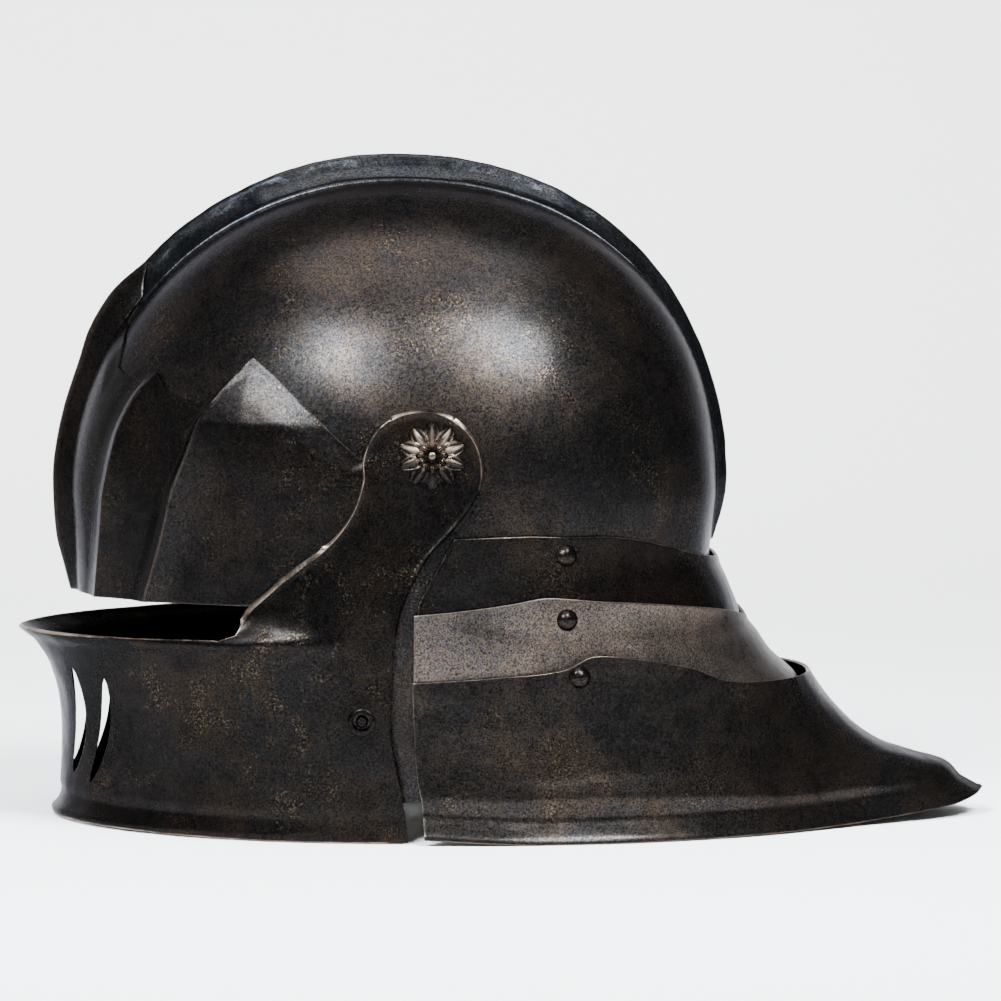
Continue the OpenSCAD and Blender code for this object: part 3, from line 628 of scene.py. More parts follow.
def build_skull():
    """The bowl, its cheeks and nape, with a hole for the catch."""
    face_edge = 110
    face_half = 180 - face_edge
    face_top = 88
    cheek = 14.4
    nape = 91
    corner_r = 19
    side_cols = 84
    face_cols = 96
    bowl_rows = 104
    curtain_rows = 40
    angles = np.concatenate([np.linspace(0, face_edge, side_cols, endpoint=False),
                             np.linspace(face_edge, 360 - face_edge, face_cols, endpoint=False),
                             np.linspace(360 - face_edge, 360, side_cols, endpoint=False)])
    f = np.abs(angles - 180)

    def corner(t):
        return 1 - np.sqrt(np.clip(1 - t * t, 0, None))

    fold = np.where(f <= face_half, face_top - corner_r * corner(np.clip((f - face_half + 11) / 11, 0, 1)),
                    mix(face_top - corner_r, nape + 9, ease((f - face_half) / 40)))
    rim = cheek + 20 * corner(np.clip(1 - (f - face_half) / 9, 0, 1)) + (nape - cheek) * ease((f - 92) / 20)
    rows = []
    for i in range(bowl_rows + 1):
        t = mix(1.5, np.degrees(np.arccos((fold - BOWL_Z) / BOWL_H)), i / bowl_rows)
        rows.append(skull_point(angles, BOWL_Z + BOWL_H * cos_d(t)))
    for i in range(1, curtain_rows + 1):
        rows.append(skull_point(angles, mix(fold, rim, i / curtain_rows)))
    g = np.stack(rows)
    n = grid_normals(g, closed=True)
    dents = 0.28 * waves(g, 34, 1) + 0.12 * waves(g, 14, 2)
    dents *= ease((np.arange(len(g))[:, None] - 2) / 10)
    g = g + n * dents[..., None]
    keep = np.ones((len(g) - 1, len(angles)), bool)
    keep[bowl_rows:, side_cols:side_cols + face_cols] = False
    obj = face_object("skull_shell", g, keep, closed=True, capped=True)
    mark_edges(obj)
    thicken(obj, cutters=[catch_cutter(3.0)])
    stands_for(obj, SKULL_STEEL, "skull", "skull_steel", "skull")


# ---- comb ----

COMB_FRONT = -58        # angles from the bowl's top where the comb starts and ends
COMB_REAR = 98.6
COMB_W = 9
COMB_HEIGHTS = [(COMB_FRONT, 1.5), (-52, 6), (-47, 9.3), (-25, 10.2), (0, 10.3), (20, 8.6), (38, 6.6),
                (63, 4.2),
                (84, 4.2), (92, 3.2), (COMB_REAR, 1)]


def build_comb():
    """The applied ridge strip along the middle of the bowl."""
    stations = np.linspace(COMB_FRONT, COMB_REAR, 280)
    z = BOWL_Z + BOWL_H * cos_d(stations)
    x = np.where(stations < 0, skull_front(z), skull_rear(z))
    out = np.stack([x - BOWL_X, np.zeros_like(x), z - BOWL_Z], axis=-1)
    out /= np.linalg.norm(out, axis=1, keepdims=True)
    h = curve(COMB_HEIGHTS, stations)
    w = COMB_W * mix(0.5, 1, np.minimum(1, h / 6))
    base = -w * w / 240 - 0.3
    # Half of the roof section: share of the half width, share of the height
    roof = [(0, 1.0), (0.07, 0.985), (0.14, 0.93), (0.2, 0.84), (0.4, 0.56), (0.6, 0.35), (0.8, 0.2),
            (0.92, 0.15),
            (0.985, 0.11), (1, 0.0)]
    across = [(-a, b) for a, b in reversed(roof)] + roof[1:]
    fine = measured(across)
    ticks = np.linspace(0, 1, 41)
    section = np.stack([np.interp(ticks, [s for s, _ in fine], [p[k] for _, p in fine]) for k in (0, 1)],
                       axis=1)
    rows = []
    for a, b in section:
        rows.append(np.stack([x, a * w, z], axis=-1) + out * (base + b * (h - base))[:, None])
    g = np.stack(rows)
    n = grid_normals(g)
    beat = 0.3 * waves(g, 11, 3) + 0.16 * waves(g, 5, 4)
    free = ease((1 - np.abs(section[:, 0]))[:, None] * 6)
    g = g + n * (beat * free * np.minimum(1, h / 5))[..., None]
    obj = face_object("comb_strip", g)
    mark_edges(obj, reach=1.6)
    ridge = ease(1 - np.abs(section[:, 0]) / 0.12)[:, None] * np.ones(len(stations))
    store(obj, "crest", 0.5 * ridge)
    thicken(obj, thickness=1.3, bevel=0.2)
    stands_for(obj, COMB_STEEL, "skull", "comb_steel", "comb")


# ---- brow plate ----

BROW_TOP = [(0, 209), (1.4, 205.5), (5, 194.5), (10, 186.5), (17, 179.5), (21, 170.5), (26, 168), (31, 167),
            (37.8, 169.5), (42, 162.5), (47, 160), (51.4, 158), (56.3, 166.8), (60.7, 175.4), (65, 169.5),
            (69.5, 162.1), (73.7, 153.9), (80.8, 139.4), (85, 142), (89, 151), (92.8, 153.2), (97, 149),
            (99, 143)]
BROW_BOTTOM = [(0, 85.5), (62, 85.5), (70, 93), (80, 108), (86, 123), (92.8, 129.2), (97, 133), (99, 139)]
BROW_KEEL = [(84, -163.5), (95.9, -166.5), (105.7, -168.9), (123.9, -170.1), (136, -169.5), (154.2, -165.8),
             (172.5, -159.8), (183, -156.4), (193.3, -150.7), (200.3, -145.2), (209, -135)]
BROW_END = 99                  # angle from the front where the plate ends
# Each flute's petal point and its foot at the brow edge as angles, its height, the angle that its front slope
# spreads over and how hollow that slope is
FLUTES = ((37.8, 24.3, 2.6, 7.5, 1.7), (60.7, 40.3, 3.4, 6.0, 1.25))
FLUTE_TOPS = [flute[0] for flute in FLUTES]
FLUTE_FEET = [flute[1] for flute in FLUTES]
# Share of a flute's sweep that is done at each share of the way down
FLUTE_SWEEP = [(0, 0), (0.093, 0.15), (0.23, 0.34), (0.388, 0.47), (0.54, 0.61), (0.664, 0.7), (0.82, 0.83),
               (1, 1)]
KEEL_HALF = 5.0                # angle that the keel spreads over
# Each petal's rear edge as angles and heights, then the height that its facet reaches down to, the facet's
# tilt and the angle where it ends
FACETS = {
    37.8: ((30, 37.8, 42, 47, 51.4), (181, 169.5, 162.5, 156, 148), 163, 0.16, 52),
    60.7: ((51.4, 60.7, 65, 69.5, 73.7, 80.8, 99), (182, 175.4, 169.5, 162.1, 153.9, 139.4, 105), 151,
           0.125, 86),
}


def build_brow_plate():
    """The reinforce over the forehead, with its keel, two swept flutes on each side and petal facets."""
    spans = [(0, 5, 16), (5, 31, 34), (31, 37.8, 26), (37.8, 46, 26), (46, 56, 22), (56, 60.7, 26),
             (60.7, 70, 28),
             (70, 99, 44)]
    top = np.concatenate([np.linspace(a, b, k, endpoint=False) for a, b, k in spans] + [[float(BROW_END)]])
    foot = np.interp(top, [0, KEEL_HALF, *FLUTE_TOPS, BROW_END], [0, KEEL_HALF, *FLUTE_FEET, BROW_END])
    v = np.linspace(0, 1, 97)[:, None]
    swept = ease((top - 6) / 20) * ease((BROW_END - top) / 25)
    share = curve(FLUTE_SWEEP, v) * swept + v * (1 - swept)
    f = mix(top[None, :], foot[None, :], share)
    z = mix(straight(BROW_TOP, top)[None, :], straight(BROW_BOTTOM, foot)[None, :], v)
    stand_off = 2
    g = skull_point(180 - f, z)
    surface = skull_point(180 - KEEL_HALF, z)
    keel_t = np.clip(1 - f / KEEL_HALF, 0, 1)
    keel_x = curve(BROW_KEEL, z) + stand_off
    g[..., 0] = np.where(keel_t > 0, mix(surface[..., 0], keel_x, keel_t ** 1.15), g[..., 0])
    full_f = unfolded(f, -1)
    g = unfolded(g, MIRROR)
    normals = grid_normals(g)
    centre = len(top) - 1
    normals[:, centre] = (-1, 0, 0.12)
    relief = np.zeros(f.shape)
    crest = np.zeros(f.shape)
    for tip, bottom, high, lead, bend in FLUTES:
        line = mix(tip, bottom, share[:, np.argmin(np.abs(top - tip))][:, None])
        d = f - line
        rise = np.where(d < 0, np.clip(1 + d / lead, 0, 1) ** bend, np.clip(1 - d / 8, 0, 1) ** 1.8)
        fade = mix(0.35, 1, ease(v / 0.3))
        relief = np.maximum(relief, high * rise * fade)
        crest = np.maximum(crest, 0.6 * np.clip(1 - np.abs(d + 0.15) / 0.5, 0, 1))
        # A facet leans back from a level line up to the petal's rear edge, and fades out below that line
        edge_f, edge_z, level, tilt, reach = FACETS[tip]
        upper = np.interp(f, edge_f, edge_z)
        peak = tilt * np.clip(upper - level, 0, None)
        facet = np.minimum(tilt * np.clip(upper - z, 0, None), peak)
        facet *= mix(0.2, 1, np.clip(1 - (level - z) / 45, 0, 1) ** 2)
        facet *= ease((d + 3) / 3) * ease((reach - f) / 9)
        relief = np.maximum(relief, facet) + 0.45 * np.minimum(relief, facet)
    crest = np.maximum(crest, 0.55 * np.clip(1 - f / 0.9, 0, 1))
    # The upper edge of the two front petals is drawn thin, nearly flush with the skull
    thin = ease(1 - v / 0.14) * (mix(0.8, 1.2, ease((55 - top) / 6)) * ease((top - 2) / 4))[None, :]
    dents = 0.22 * waves(g, 26, 5) + 0.1 * waves(g, 9, 6)
    height = stand_off + unfolded(relief) - unfolded(thin)
    g = g + normals * (height + dents * ease(np.abs(full_f) / 6))[..., None]
    obj = face_object("brow_shell", g)
    mark_edges(obj, reach=2.6, kept=lambda points: mix(0.93, 0.8, ease((points[:, 2] - 150) / 20)))
    store(obj, "crest", unfolded(crest))
    thicken(obj)
    stands_for(obj, BROW_STEEL, "skull", "brow_steel", "brow_plate")


# ---- visor ----

VISOR_HALF = 107
ARM_OUT = VISOR_HALF - 2.2
VISOR_X = -40
KEEL_X = -167
VISOR_SQUARE = 1.85
DISC = np.array([-28.3, 135.7])
DISC_R = 21.5
PIVOT = (-24.7, 141.2)
ARM_FOOT = 60
FLARE = [(0, 4.6), (3.3, 4.7), (6.2, 2.2), (9.7, 1), (21, 0.2), (30.7, 0), (40, 0.4), (48.2, 1.6), (54, 3.3),
         (58.6, 5), (63.3, 8), (67.4, 11.4), (70.6, 16.8), (73.6, 17), (77, 9), (82, 2.5), (88, 0), (200, 0)]
FLARE_SHARE = [(0, 1), (20, 0.8), (40, 0.6), (58, 0.42), (66, 0.3), (76, 0.1), (84, 0), (180, 0)]
VISOR_BOTTOM = [(0, 1.5), (40, 0.8), (70, 0.3), (90, 0.5), (97, 0.8)]
VISOR_CREST = [(0, 70.6), (30, 72), (60, 73.6), (70, 73), (91, 71)]
VISOR_REAR = [(0.5, -33.4), (13.7, -35.2), (31.5, -38.8), (39.8, -40), (50.7, -40), (71, -39.2)]


def visor_point(f, z):
    """Point of the visor's outer face; f is the angle from the front, 90 and more behind the widest place."""
    f, z = np.broadcast_arrays(np.asarray(f, float), np.asarray(z, float))
    s = np.where(f > 90, 1, sin_d(f))
    c = np.where(f > 90, 0, cos_d(f))
    m = 2 / VISOR_SQUARE
    a = VISOR_X - KEEL_X
    b = VISOR_HALF - (VISOR_HALF - ARM_OUT) * ease((z - 80) / 40)
    out = np.stack([-np.abs(c) ** (2 - m) / a, -np.abs(s) ** (2 - m) / b, np.zeros_like(z)], axis=-1)
    out /= np.linalg.norm(out, axis=-1, keepdims=True)
    lip = curve(FLARE, z) * curve(FLARE_SHARE, f)
    x = np.where(f > 90, VISOR_X + f - 90, VISOR_X - a * np.abs(c) ** m)
    return np.stack([x, -b * np.abs(s) ** m, z], axis=-1) + lip[..., None] * out


def visor_angle(x):
    """The angle whose point on the visor lies at x."""
    ahead = np.clip((VISOR_X - x) / (VISOR_X - KEEL_X), 0, 1) ** (VISOR_SQUARE / 2)
    return np.where(x > VISOR_X, 90 + x - VISOR_X, np.degrees(np.arccos(ahead)))


def on_disc(a):
    """Side view point on the rim of the arm's disc."""
    return DISC + DISC_R * np.array([cos_d(a), sin_d(a)])


BREATH_SKEW = 0.072     # how far forward the slots move for each millimetre towards the far side


def breath_cutter(x_top, x_bottom, bow, width, low, high=41):
    """A bowed strip in side view, pointed at both ends, run through the visor from side to side."""
    reach = 80
    t = np.linspace(0, 1, 21)
    middle = mix(x_bottom, x_top, t) + bow * sin_d(180 * t)
    half = width / 2 * np.sqrt(np.clip(sin_d(180 * t), 0, None))
    ring = [(x + w, low + high * s) for x, w, s in zip(middle, half, t)]
    ring += [(x - w, low + high * s) for x, w, s in list(zip(middle, half, t))[-2:0:-1]]
    n = len(ring)
    verts = [(x - y * BREATH_SKEW, y, z) for y in (-reach, reach) for x, z in ring]
    faces = [tuple(range(n)), tuple(range(2 * n - 1, n - 1, -1))]
    faces += [(k, k + n, (k + 1) % n + n, (k + 1) % n) for k in range(n)]
    return merged("breath_cutter", [(verts, faces)])


def bunched(count):
    """Shares from 0 to 1, closer together near both ends."""
    return (1 - np.cos(np.pi * np.linspace(0, 1, count + 1))) / 2


def visor_body(rows, front_cols, arm_cols):
    """The near half of the visor below its crest, from the keel back to the rear edge."""
    down = np.linspace(0, 1, rows + 1)
    rear_at = 90 + curve(VISOR_REAR, 70) - VISOR_X
    cols = np.concatenate([np.linspace(0, ARM_FOOT, front_cols, endpoint=False),
                           mix(ARM_FOOT, rear_at, bunched(arm_cols))])
    z = mix(curve(VISOR_CREST, cols)[None, :], curve(VISOR_BOTTOM, cols)[None, :], down[:, None])
    back = np.clip((cols - ARM_FOOT) / (rear_at - ARM_FOOT), 0, 1)[None, :]
    f = np.where(cols[None, :] < ARM_FOOT, cols[None, :],
                 mix(ARM_FOOT, 90 + curve(VISOR_REAR, z) - VISOR_X, back))
    return visor_point(f, z)


def visor_arm(rows, cols):
    """The near arm from its disc down to the body, and how far its rolled edges turn in."""
    front_path = measured([(-95.3, 73.6), (-91, 84), (-80, 94.7), (-63.5, 107), (-54, 119),
                           *[on_disc(a) for a in (190, 173, 156, 139, 122)]])
    rear_path = measured([(-39, 71), (-36.3, 85.2), (-27.4, 103.4), (-15.7, 116.8),
                          *[on_disc(a) for a in (-20, 0, 20, 39, 58)]])
    v = 1 - np.linspace(0, 1, rows + 1)[:-1] ** 1.4
    w = bunched(cols)
    p = mix(curve(front_path, v)[:, None, :], curve(rear_path, v)[:, None, :], w[None, :, None])
    p[..., 1] += 3.2 * 4 * (w * (1 - w))[None, :] * ease((v - 0.7) / 0.3)[:, None]
    arm = visor_point(visor_angle(p[..., 0]), p[..., 1])
    rim = np.concatenate([arm[:, 0], arm[:, -1], arm[0]])
    from_rim = np.linalg.norm(arm[:, :, None] - rim[None, None], axis=3).min(axis=2)
    rolled = -0.65 * np.clip(1 - from_rim / 2.8, 0, 1) ** 2 * ease(v[:, None] * 12)
    return arm, rolled


def visor_wear_and_glint(points):
    """Share of the visor's pale edge that is kept: the pale edge is partly wear and partly a painted
    highlight, so less is kept along the rear edge below the disc, which faces away from the lights, and at
    the disc's top.
    """
    back_edge = [*VISOR_REAR, (85.2, -36.3), (103.4, -27.4), (116.8, -15.7), (126, -9)]
    from_back = straight(back_edge, points[:, 2]) - points[:, 0]
    rear = (from_back < 6) & (points[:, 2] < 128)
    top = ease(1 - np.abs(points[:, 0] - DISC[0] - 3) / 6) * (points[:, 2] > 145)
    return np.where(rear, 0.72, 1 - 0.2 * top)


def build_visor():
    """The visor with its two arms, lip, lower border, breath slots and catch hole."""
    arm_rows = 76
    front_cols = 84
    arm_cols = 34
    half = visor_body(84, front_cols, arm_cols)
    arm, rolled = visor_arm(arm_rows, arm_cols)
    filler = np.repeat(half[:1, :front_cols], arm_rows, axis=0)
    filler[..., 2] += np.linspace(arm_rows, 1, arm_rows)[:, None] * 0.5
    half = np.concatenate([np.concatenate([filler, arm], axis=1), half], axis=0)
    n = grid_normals(half)
    # A raised border along the lower edge, and a rolled lip at the front of the crest
    height = half[..., 2] - curve(VISOR_BOTTOM, np.clip(visor_angle(half[..., 0]), 0, 97))
    border = 0.8 * ease((11.6 - height) / 3.2)
    below_crest = curve(VISOR_CREST, np.clip(visor_angle(half[..., 0]), 0, 91)) - half[..., 2]
    body = (np.arange(len(half)) >= arm_rows)[:, None]
    roll = np.where(body & (below_crest < 4) & (half[..., 0] < -90), 0.5 * ease(1 - below_crest / 3), 0)
    roll[:arm_rows, front_cols:] += rolled
    dents = 0.3 * waves(half, 24, 7) + 0.14 * waves(half, 8, 8)
    ring = np.hypot(half[..., 0] - CATCH[0], half[..., 2] - CATCH[1])
    calm = ease(ring / 8)
    half = half + n * (np.where(body, border, 0) + roll + dents * calm)[..., None]
    g = unfolded(half, MIRROR)
    g[:, half.shape[1] - 1, 1] = 0
    keep = np.ones((g.shape[0] - 1, g.shape[1] - 1), bool)
    keep[:arm_rows, arm_cols:g.shape[1] - 1 - arm_cols] = False
    obj = face_object("visor_shell", g, keep)
    mark_edges(obj, reach=2.6, kept=visor_wear_and_glint)
    slots = [breath_cutter(-163.2, -162.6, 3.2, 3.8, 17.8), breath_cutter(-151.1, -156.7, 3, 3.6, 15)]
    thicken(obj, cutters=[*slots, catch_cutter(3.3)])
    stands_for(obj, VISOR_STEEL, "visor", "visor_steel", "visor")


def build_catch_ring():
    """A raised collar round the catch's hole."""
    y = -VISOR_HALF * arch((VISOR_X - CATCH[0]) / (VISOR_X - KEEL_X), VISOR_SQUARE)
    profile = [(3.3, -0.8), (3.3, 0.35), (3.5, 0.55), (4.1, 0.6), (4.7, 0.45), (5.1, 0.1), (5.2, -0.4),
               (3.3, -0.8)]
    steps = 48
    verts = [point for r, h in profile[:-1] for point in circle(r, h, steps)]
    faces = ring_faces(len(profile) - 1, steps, closed=True)
    lean = 0.075
    obj = merged("catch_collar", [(placed(verts, (CATCH[0], float(y), CATCH[1]), (-lean, -1, 0)), faces)])
    settle(obj)
    stands_for(obj, VISOR_STEEL, "visor", "visor_steel")


# ---- lames and tail plate ----

LAME_X = -32
UPPER_REAR = [(64, 90.6), (77.3, 90.4), (88.7, 86.3), (97.7, 82.7), (112, 82.6)]
UPPER_TOP = [(0, 97.7), (25, 101.5), (43, 107), (56, 110.3), (68, 110.8), (76, 111.4), (90, 110.7)]
UPPER_BOTTOM = [(0, 68), (45, 70), (90, 71)]
UPPER_FRONT = [(70, -30.5), (86, -29.8), (92.6, -26.7), (101.2, -21.9), (112, -16)]
MIDDLE_REAR = [(49, 114.5), (53.3, 112), (61.5, 103), (69, 97.8), (75, 93.6), (90, 93.2)]
MIDDLE_TOP = [(0, 75), (26, 81.4), (48, 85.6), (60, 87.4), (65, 88.4), (70, 89), (76, 86.9), (82, 85.1),
              (90, 83.1)]
MIDDLE_BOTTOM = [(0, 52), (30, 51), (60, 49), (90, 49)]
MIDDLE_FRONT = [(48, -31.6), (84, -31.4)]
TAIL_TOP_Z = 55.2
TAIL_TOP = [(0, TAIL_TOP_Z), (32, TAIL_TOP_Z + 0.1), (42, 57), (49, 62), (59, 66), (66.5, 67.7), (71, 62.9),
            (81, 60.4), (90, 58.7)]
TAIL_REACH = 183.8
TAIL_HEM = [(0, (TAIL_REACH, 0)), (8, (TAIL_REACH - 4, 13)), (15, (TAIL_REACH - 14, 25)), (30, (134, 51)),
            (45, (97, 81)), (60, (54, 102.5)), (75, (9, 112)), (90, (-27.5, 113.5))]
TAIL_HEM_Z = [(0, 9.6), (8, 7.8), (15, 5.2), (30, 1.5), (45, 0.6), (60, 0.3), (75, 0.3), (90, 2.2)]
TAIL_OUT = [(0, 0), (0.25, 0.1), (0.45, 0.25), (0.62, 0.41), (0.75, 0.6), (0.88, 0.82), (1, 1)]
TAIL_DOWN = [(0, 0), (0.25, 0.22), (0.45, 0.45), (0.62, 0.6), (0.75, 0.69), (0.88, 0.79), (1, 1)]
TAIL_REAR_X = 117.3
UPPER_HALF = 102.9
MIDDLE_HALF = 105.1
TAIL_HALF = 107.3


def lame_point(f, z, rear_x, half):
    """Point of a plate; f is 0 behind and turns to 90 at one side and -90 at the other."""
    m = 2 / REAR_SQUARE
    x = LAME_X + (rear_x - LAME_X) * np.abs(cos_d(f)) ** m
    return np.stack(np.broadcast_arrays(x, half * spow(sin_d(f), m), z), axis=-1)


def build_lame(name, top, bottom, rear, front, half, body, seed, steel, crease=None):
    """One of the two plates above the tail; crease gives the ends of a soft step across its side."""
    f0 = np.linspace(90, -90, 241)
    v = np.linspace(0, 1, 49)[:, None]
    key = np.abs(f0)[None, :]
    z = mix(curve(top, key), curve(bottom, key), v)
    rear_x = curve(rear, z)
    ahead = np.clip(curve(front, z) - LAME_X, 0, None) / (rear_x - LAME_X)
    limit = np.degrees(np.arccos(ahead ** (REAR_SQUARE / 2)))
    g = lame_point(f0[None, :] / 90 * limit, z, rear_x, half)
    n = grid_normals(g)
    lift = 0.22 * waves(g, 22, seed) + 0.1 * waves(g, 8, seed + 20)
    lift *= ease(np.minimum(v * 8, (1 - v) * 8) + 0.3)
    if crease:
        a, b = crease
        t = np.clip((g[..., 0] - a[0]) / (b[0] - a[0]), 0, 1)
        line = mix(a[1], b[1], t)
        inside = ease((g[..., 0] - a[0] + 6) / 8) * ease((b[0] + 10 - g[..., 0]) / 10)
        lift = lift + 0.5 * inside * (1 / (1 + np.exp(-(line - z) * 1.6)) - 0.5)
    g = g + n * lift[..., None]
    obj = face_object(name + "_shell", g)
    mark_edges(obj, reach=2.4)
    thicken(obj)
    stands_for(obj, steel, body, "lame_steel", name)


def build_tail():
    """The tail plate, from its top edge down and out to the hem."""
    f0 = np.linspace(90, -90, 321)
    v = np.linspace(0, 1, 111)[:, None]
    key = np.abs(f0)
    top = lame_point(f0, curve(TAIL_TOP, key), TAIL_REAR_X, TAIL_HALF)
    hem = curve(TAIL_HEM, key)
    hem[:, 1] *= np.sign(f0)
    out = curve(TAIL_OUT, v)
    down = curve(TAIL_DOWN, v)
    g = np.stack([mix(top[:, 0], hem[:, 0], out), mix(top[:, 1], hem[:, 1], out),
                  mix(top[:, 2], curve(TAIL_HEM_Z, key), down)], axis=-1)
    n = grid_normals(g)
    steps = np.linalg.norm(np.diff(g, axis=0), axis=2)
    from_hem = np.concatenate([np.cumsum(steps[::-1], axis=0)[::-1], np.zeros((1, g.shape[1]))], axis=0)
    # A groove runs above the hem, which flares outwards below it and ends in a small bead
    groove_at = 9
    flare = -2.3 * np.where(from_hem < groove_at, from_hem / groove_at,
                            np.exp(-((from_hem - groove_at) / 6.5) ** 2))
    bead = 0.35 * ease(1 - np.abs(from_hem - 1.2) / 1.2)
    dents = 0.3 * waves(g, 26, 11) + 0.13 * waves(g, 8, 12)
    g = g + n * (flare + bead + dents * ease(from_hem / 5))[..., None]
    obj = face_object("tail_shell", g)
    mark_edges(obj, reach=2.4)
    thicken(obj)
    stands_for(obj, TAIL_STEEL, "tail", "tail_steel", "tail_plate")


# ---- rivets and rosettes ----
# Place in side view, rear end and half width of the surface the pair sits on, and the body it rides on

RIVETS = {
    "upper_rivets": ((24.1, 104.1), 82, UPPER_HALF, "upper_lame"),
    "middle_rivets": ((24.3, 80.9), 93.5, MIDDLE_HALF, "middle_lame"),
    "tail_rivets": ((28.8, 60.4), TAIL_REAR_X, TAIL_HALF + 0.5, "tail"),
}


def build_rivets(name, place, rear_x, half, body, seed):
    """Domed heads that sit square on the plate, shanks and peened inner ends, a pair."""
    x, z = place

    def face_y(at):
        return float(half * arch((at - LAME_X) / (rear_x - LAME_X), REAR_SQUARE))

    y = face_y(x)
    slope = (face_y(x - 1) - face_y(x + 1)) / 2
    normal = (slope, -1, 0)
    rise = 2.6
    r = 4.0
    ball = (r * r + rise * rise) / (2 * rise)
    profile = [(0, -0.6), (r - 0.3, -0.6), (r, -0.3), (r, 0.25)]
    for k in range(1, 13):
        a = math.asin(r / ball) * (1 - k / 12)
        profile.append((ball * math.sin(a) if k < 12 else 0, rise - ball + ball * math.cos(a) + 0.1))
    head, head_faces = lathe(profile)
    head = placed(head, (x, -y, z), normal)
    push = waves(head, 2.6, seed)
    head = head + np.array(normal) * 0.22 * push[:, None]
    inner = y - (9.8 if body == "tail" else 9.5)
    shank, shank_faces = lathe([(0, 0), (3.3, 0), (3.7, 0.4), (3.5, 1.2), (2.5, 1.4), (2.5, 9.2), (0, 9.2)])
    shank = placed(shank, (x, -inner, z), (0, -1, 0))
    obj = merged(name + "_domed", mirror_parts([(head, head_faces), (shank, shank_faces)]))
    settle(obj, sharp=50)
    stands_for(obj, RIVET_STEEL, body, "rivet_steel", name)


PETALS = 10


def petal_verts(angle, length, width, high):
    """A leaf-shaped petal with a middle rib, raised rims and a pointed end."""
    rows = 15
    cols = 9
    verts = []
    for i in range(rows):
        t = i / (rows - 1)
        r = mix(2.2, length, t)
        w = width / 2 * (0.25 + 0.95 * math.sin(math.pi * min(1.0, t ** 0.8 * 0.93)) ** 0.8)
        if i == rows - 1:
            w = 0.25
        for j in range(cols):
            s = 2 * j / (cols - 1) - 1
            rim = 0.55 * abs(s) ** 3
            rib = 0.75 * max(0, 1 - abs(s) * 3)
            skirt = 1.1 if abs(s) == 1 else 0
            h = high * (0.55 + 0.45 * math.sin(math.pi * t)) * (0.45 + rim + rib * (1 - 0.5 * t)) - skirt
            a = angle + math.atan2(s * w, r)
            verts.append((r * math.cos(a), r * math.sin(a), h))
    faces = [(i * cols + j, i * cols + j + 1, (i + 1) * cols + j + 1, (i + 1) * cols + j)
             for i in range(rows - 1) for j in range(cols - 1)]
    base = len(verts)
    verts += [(x, y, -0.1) for x, y, _ in verts]
    faces += [tuple(base + k for k in reversed(f)) for f in faces]
    loop = (list(range(cols)) + [i * cols + cols - 1 for i in range(1, rows)]
            + [(rows - 1) * cols + j for j in range(cols - 2, -1, -1)]
            + [i * cols for i in range(rows - 2, 0, -1)])
    faces += [(loop[(k + 1) % len(loop)], loop[k], base + loop[k], base + loop[(k + 1) % len(loop)])
              for k in range(len(loop))]
    return np.array(verts), faces


def build_rosettes():
    """Both rosettes: long petals, short ones between them, a disc and a centre boss."""
    parts = []
    origin = (PIVOT[0], -ARM_OUT - 0.1, PIVOT[1])
    for shift, length, width, high in ((0.5, 12.4, 6.0, 2.1), (0, 6.0, 1.8, 3.0)):
        for k in range(PETALS):
            parts.append(petal_verts(2 * math.pi * (k + shift) / PETALS, length, width, high))
    parts.append(lathe([(0, 0), (6.6, 0), (6.6, 0.35), (5.8, 0.6), (0, 0.6)]))
    parts.append(lathe([(0, 0.5), (1.5, 0.5), (1.5, 1.2), (1.1, 1.6), (0.6, 1.75), (0, 1.8)], steps=20))
    parts = [(placed(v, origin, (0, -1, 0)), f) for v, f in parts]
    obj = merged("rosette_flowers", mirror_parts(parts))
    settle(obj, sharp=35)
    points = np.array([v.co[:] for v in obj.data.vertices]) / MM
    height = np.abs(points[:, 1]) - ARM_OUT
    away = np.hypot(points[:, 0] - PIVOT[0], points[:, 2] - PIVOT[1])
    # Painted highlight: the pale rims, partly wear, are pale on the upper half of each rosette, where the
    # light falls, and barely on the lower half.
    upper = ease((points[:, 2] - PIVOT[1] + 3) / 6)
    rims = ease((height - 1.15) / 0.8) * mix(0.05, 1, upper)
    nubs = ease((height - 1.7) / 0.6) * ease(1 - np.abs(away - 4.4) / 2.4)
    store(obj, "crest", np.maximum(rims, nubs))
    stands_for(obj, ROSETTE_STEEL, "skull", "fitting_steel", "rosettes")


# ---- liner ----

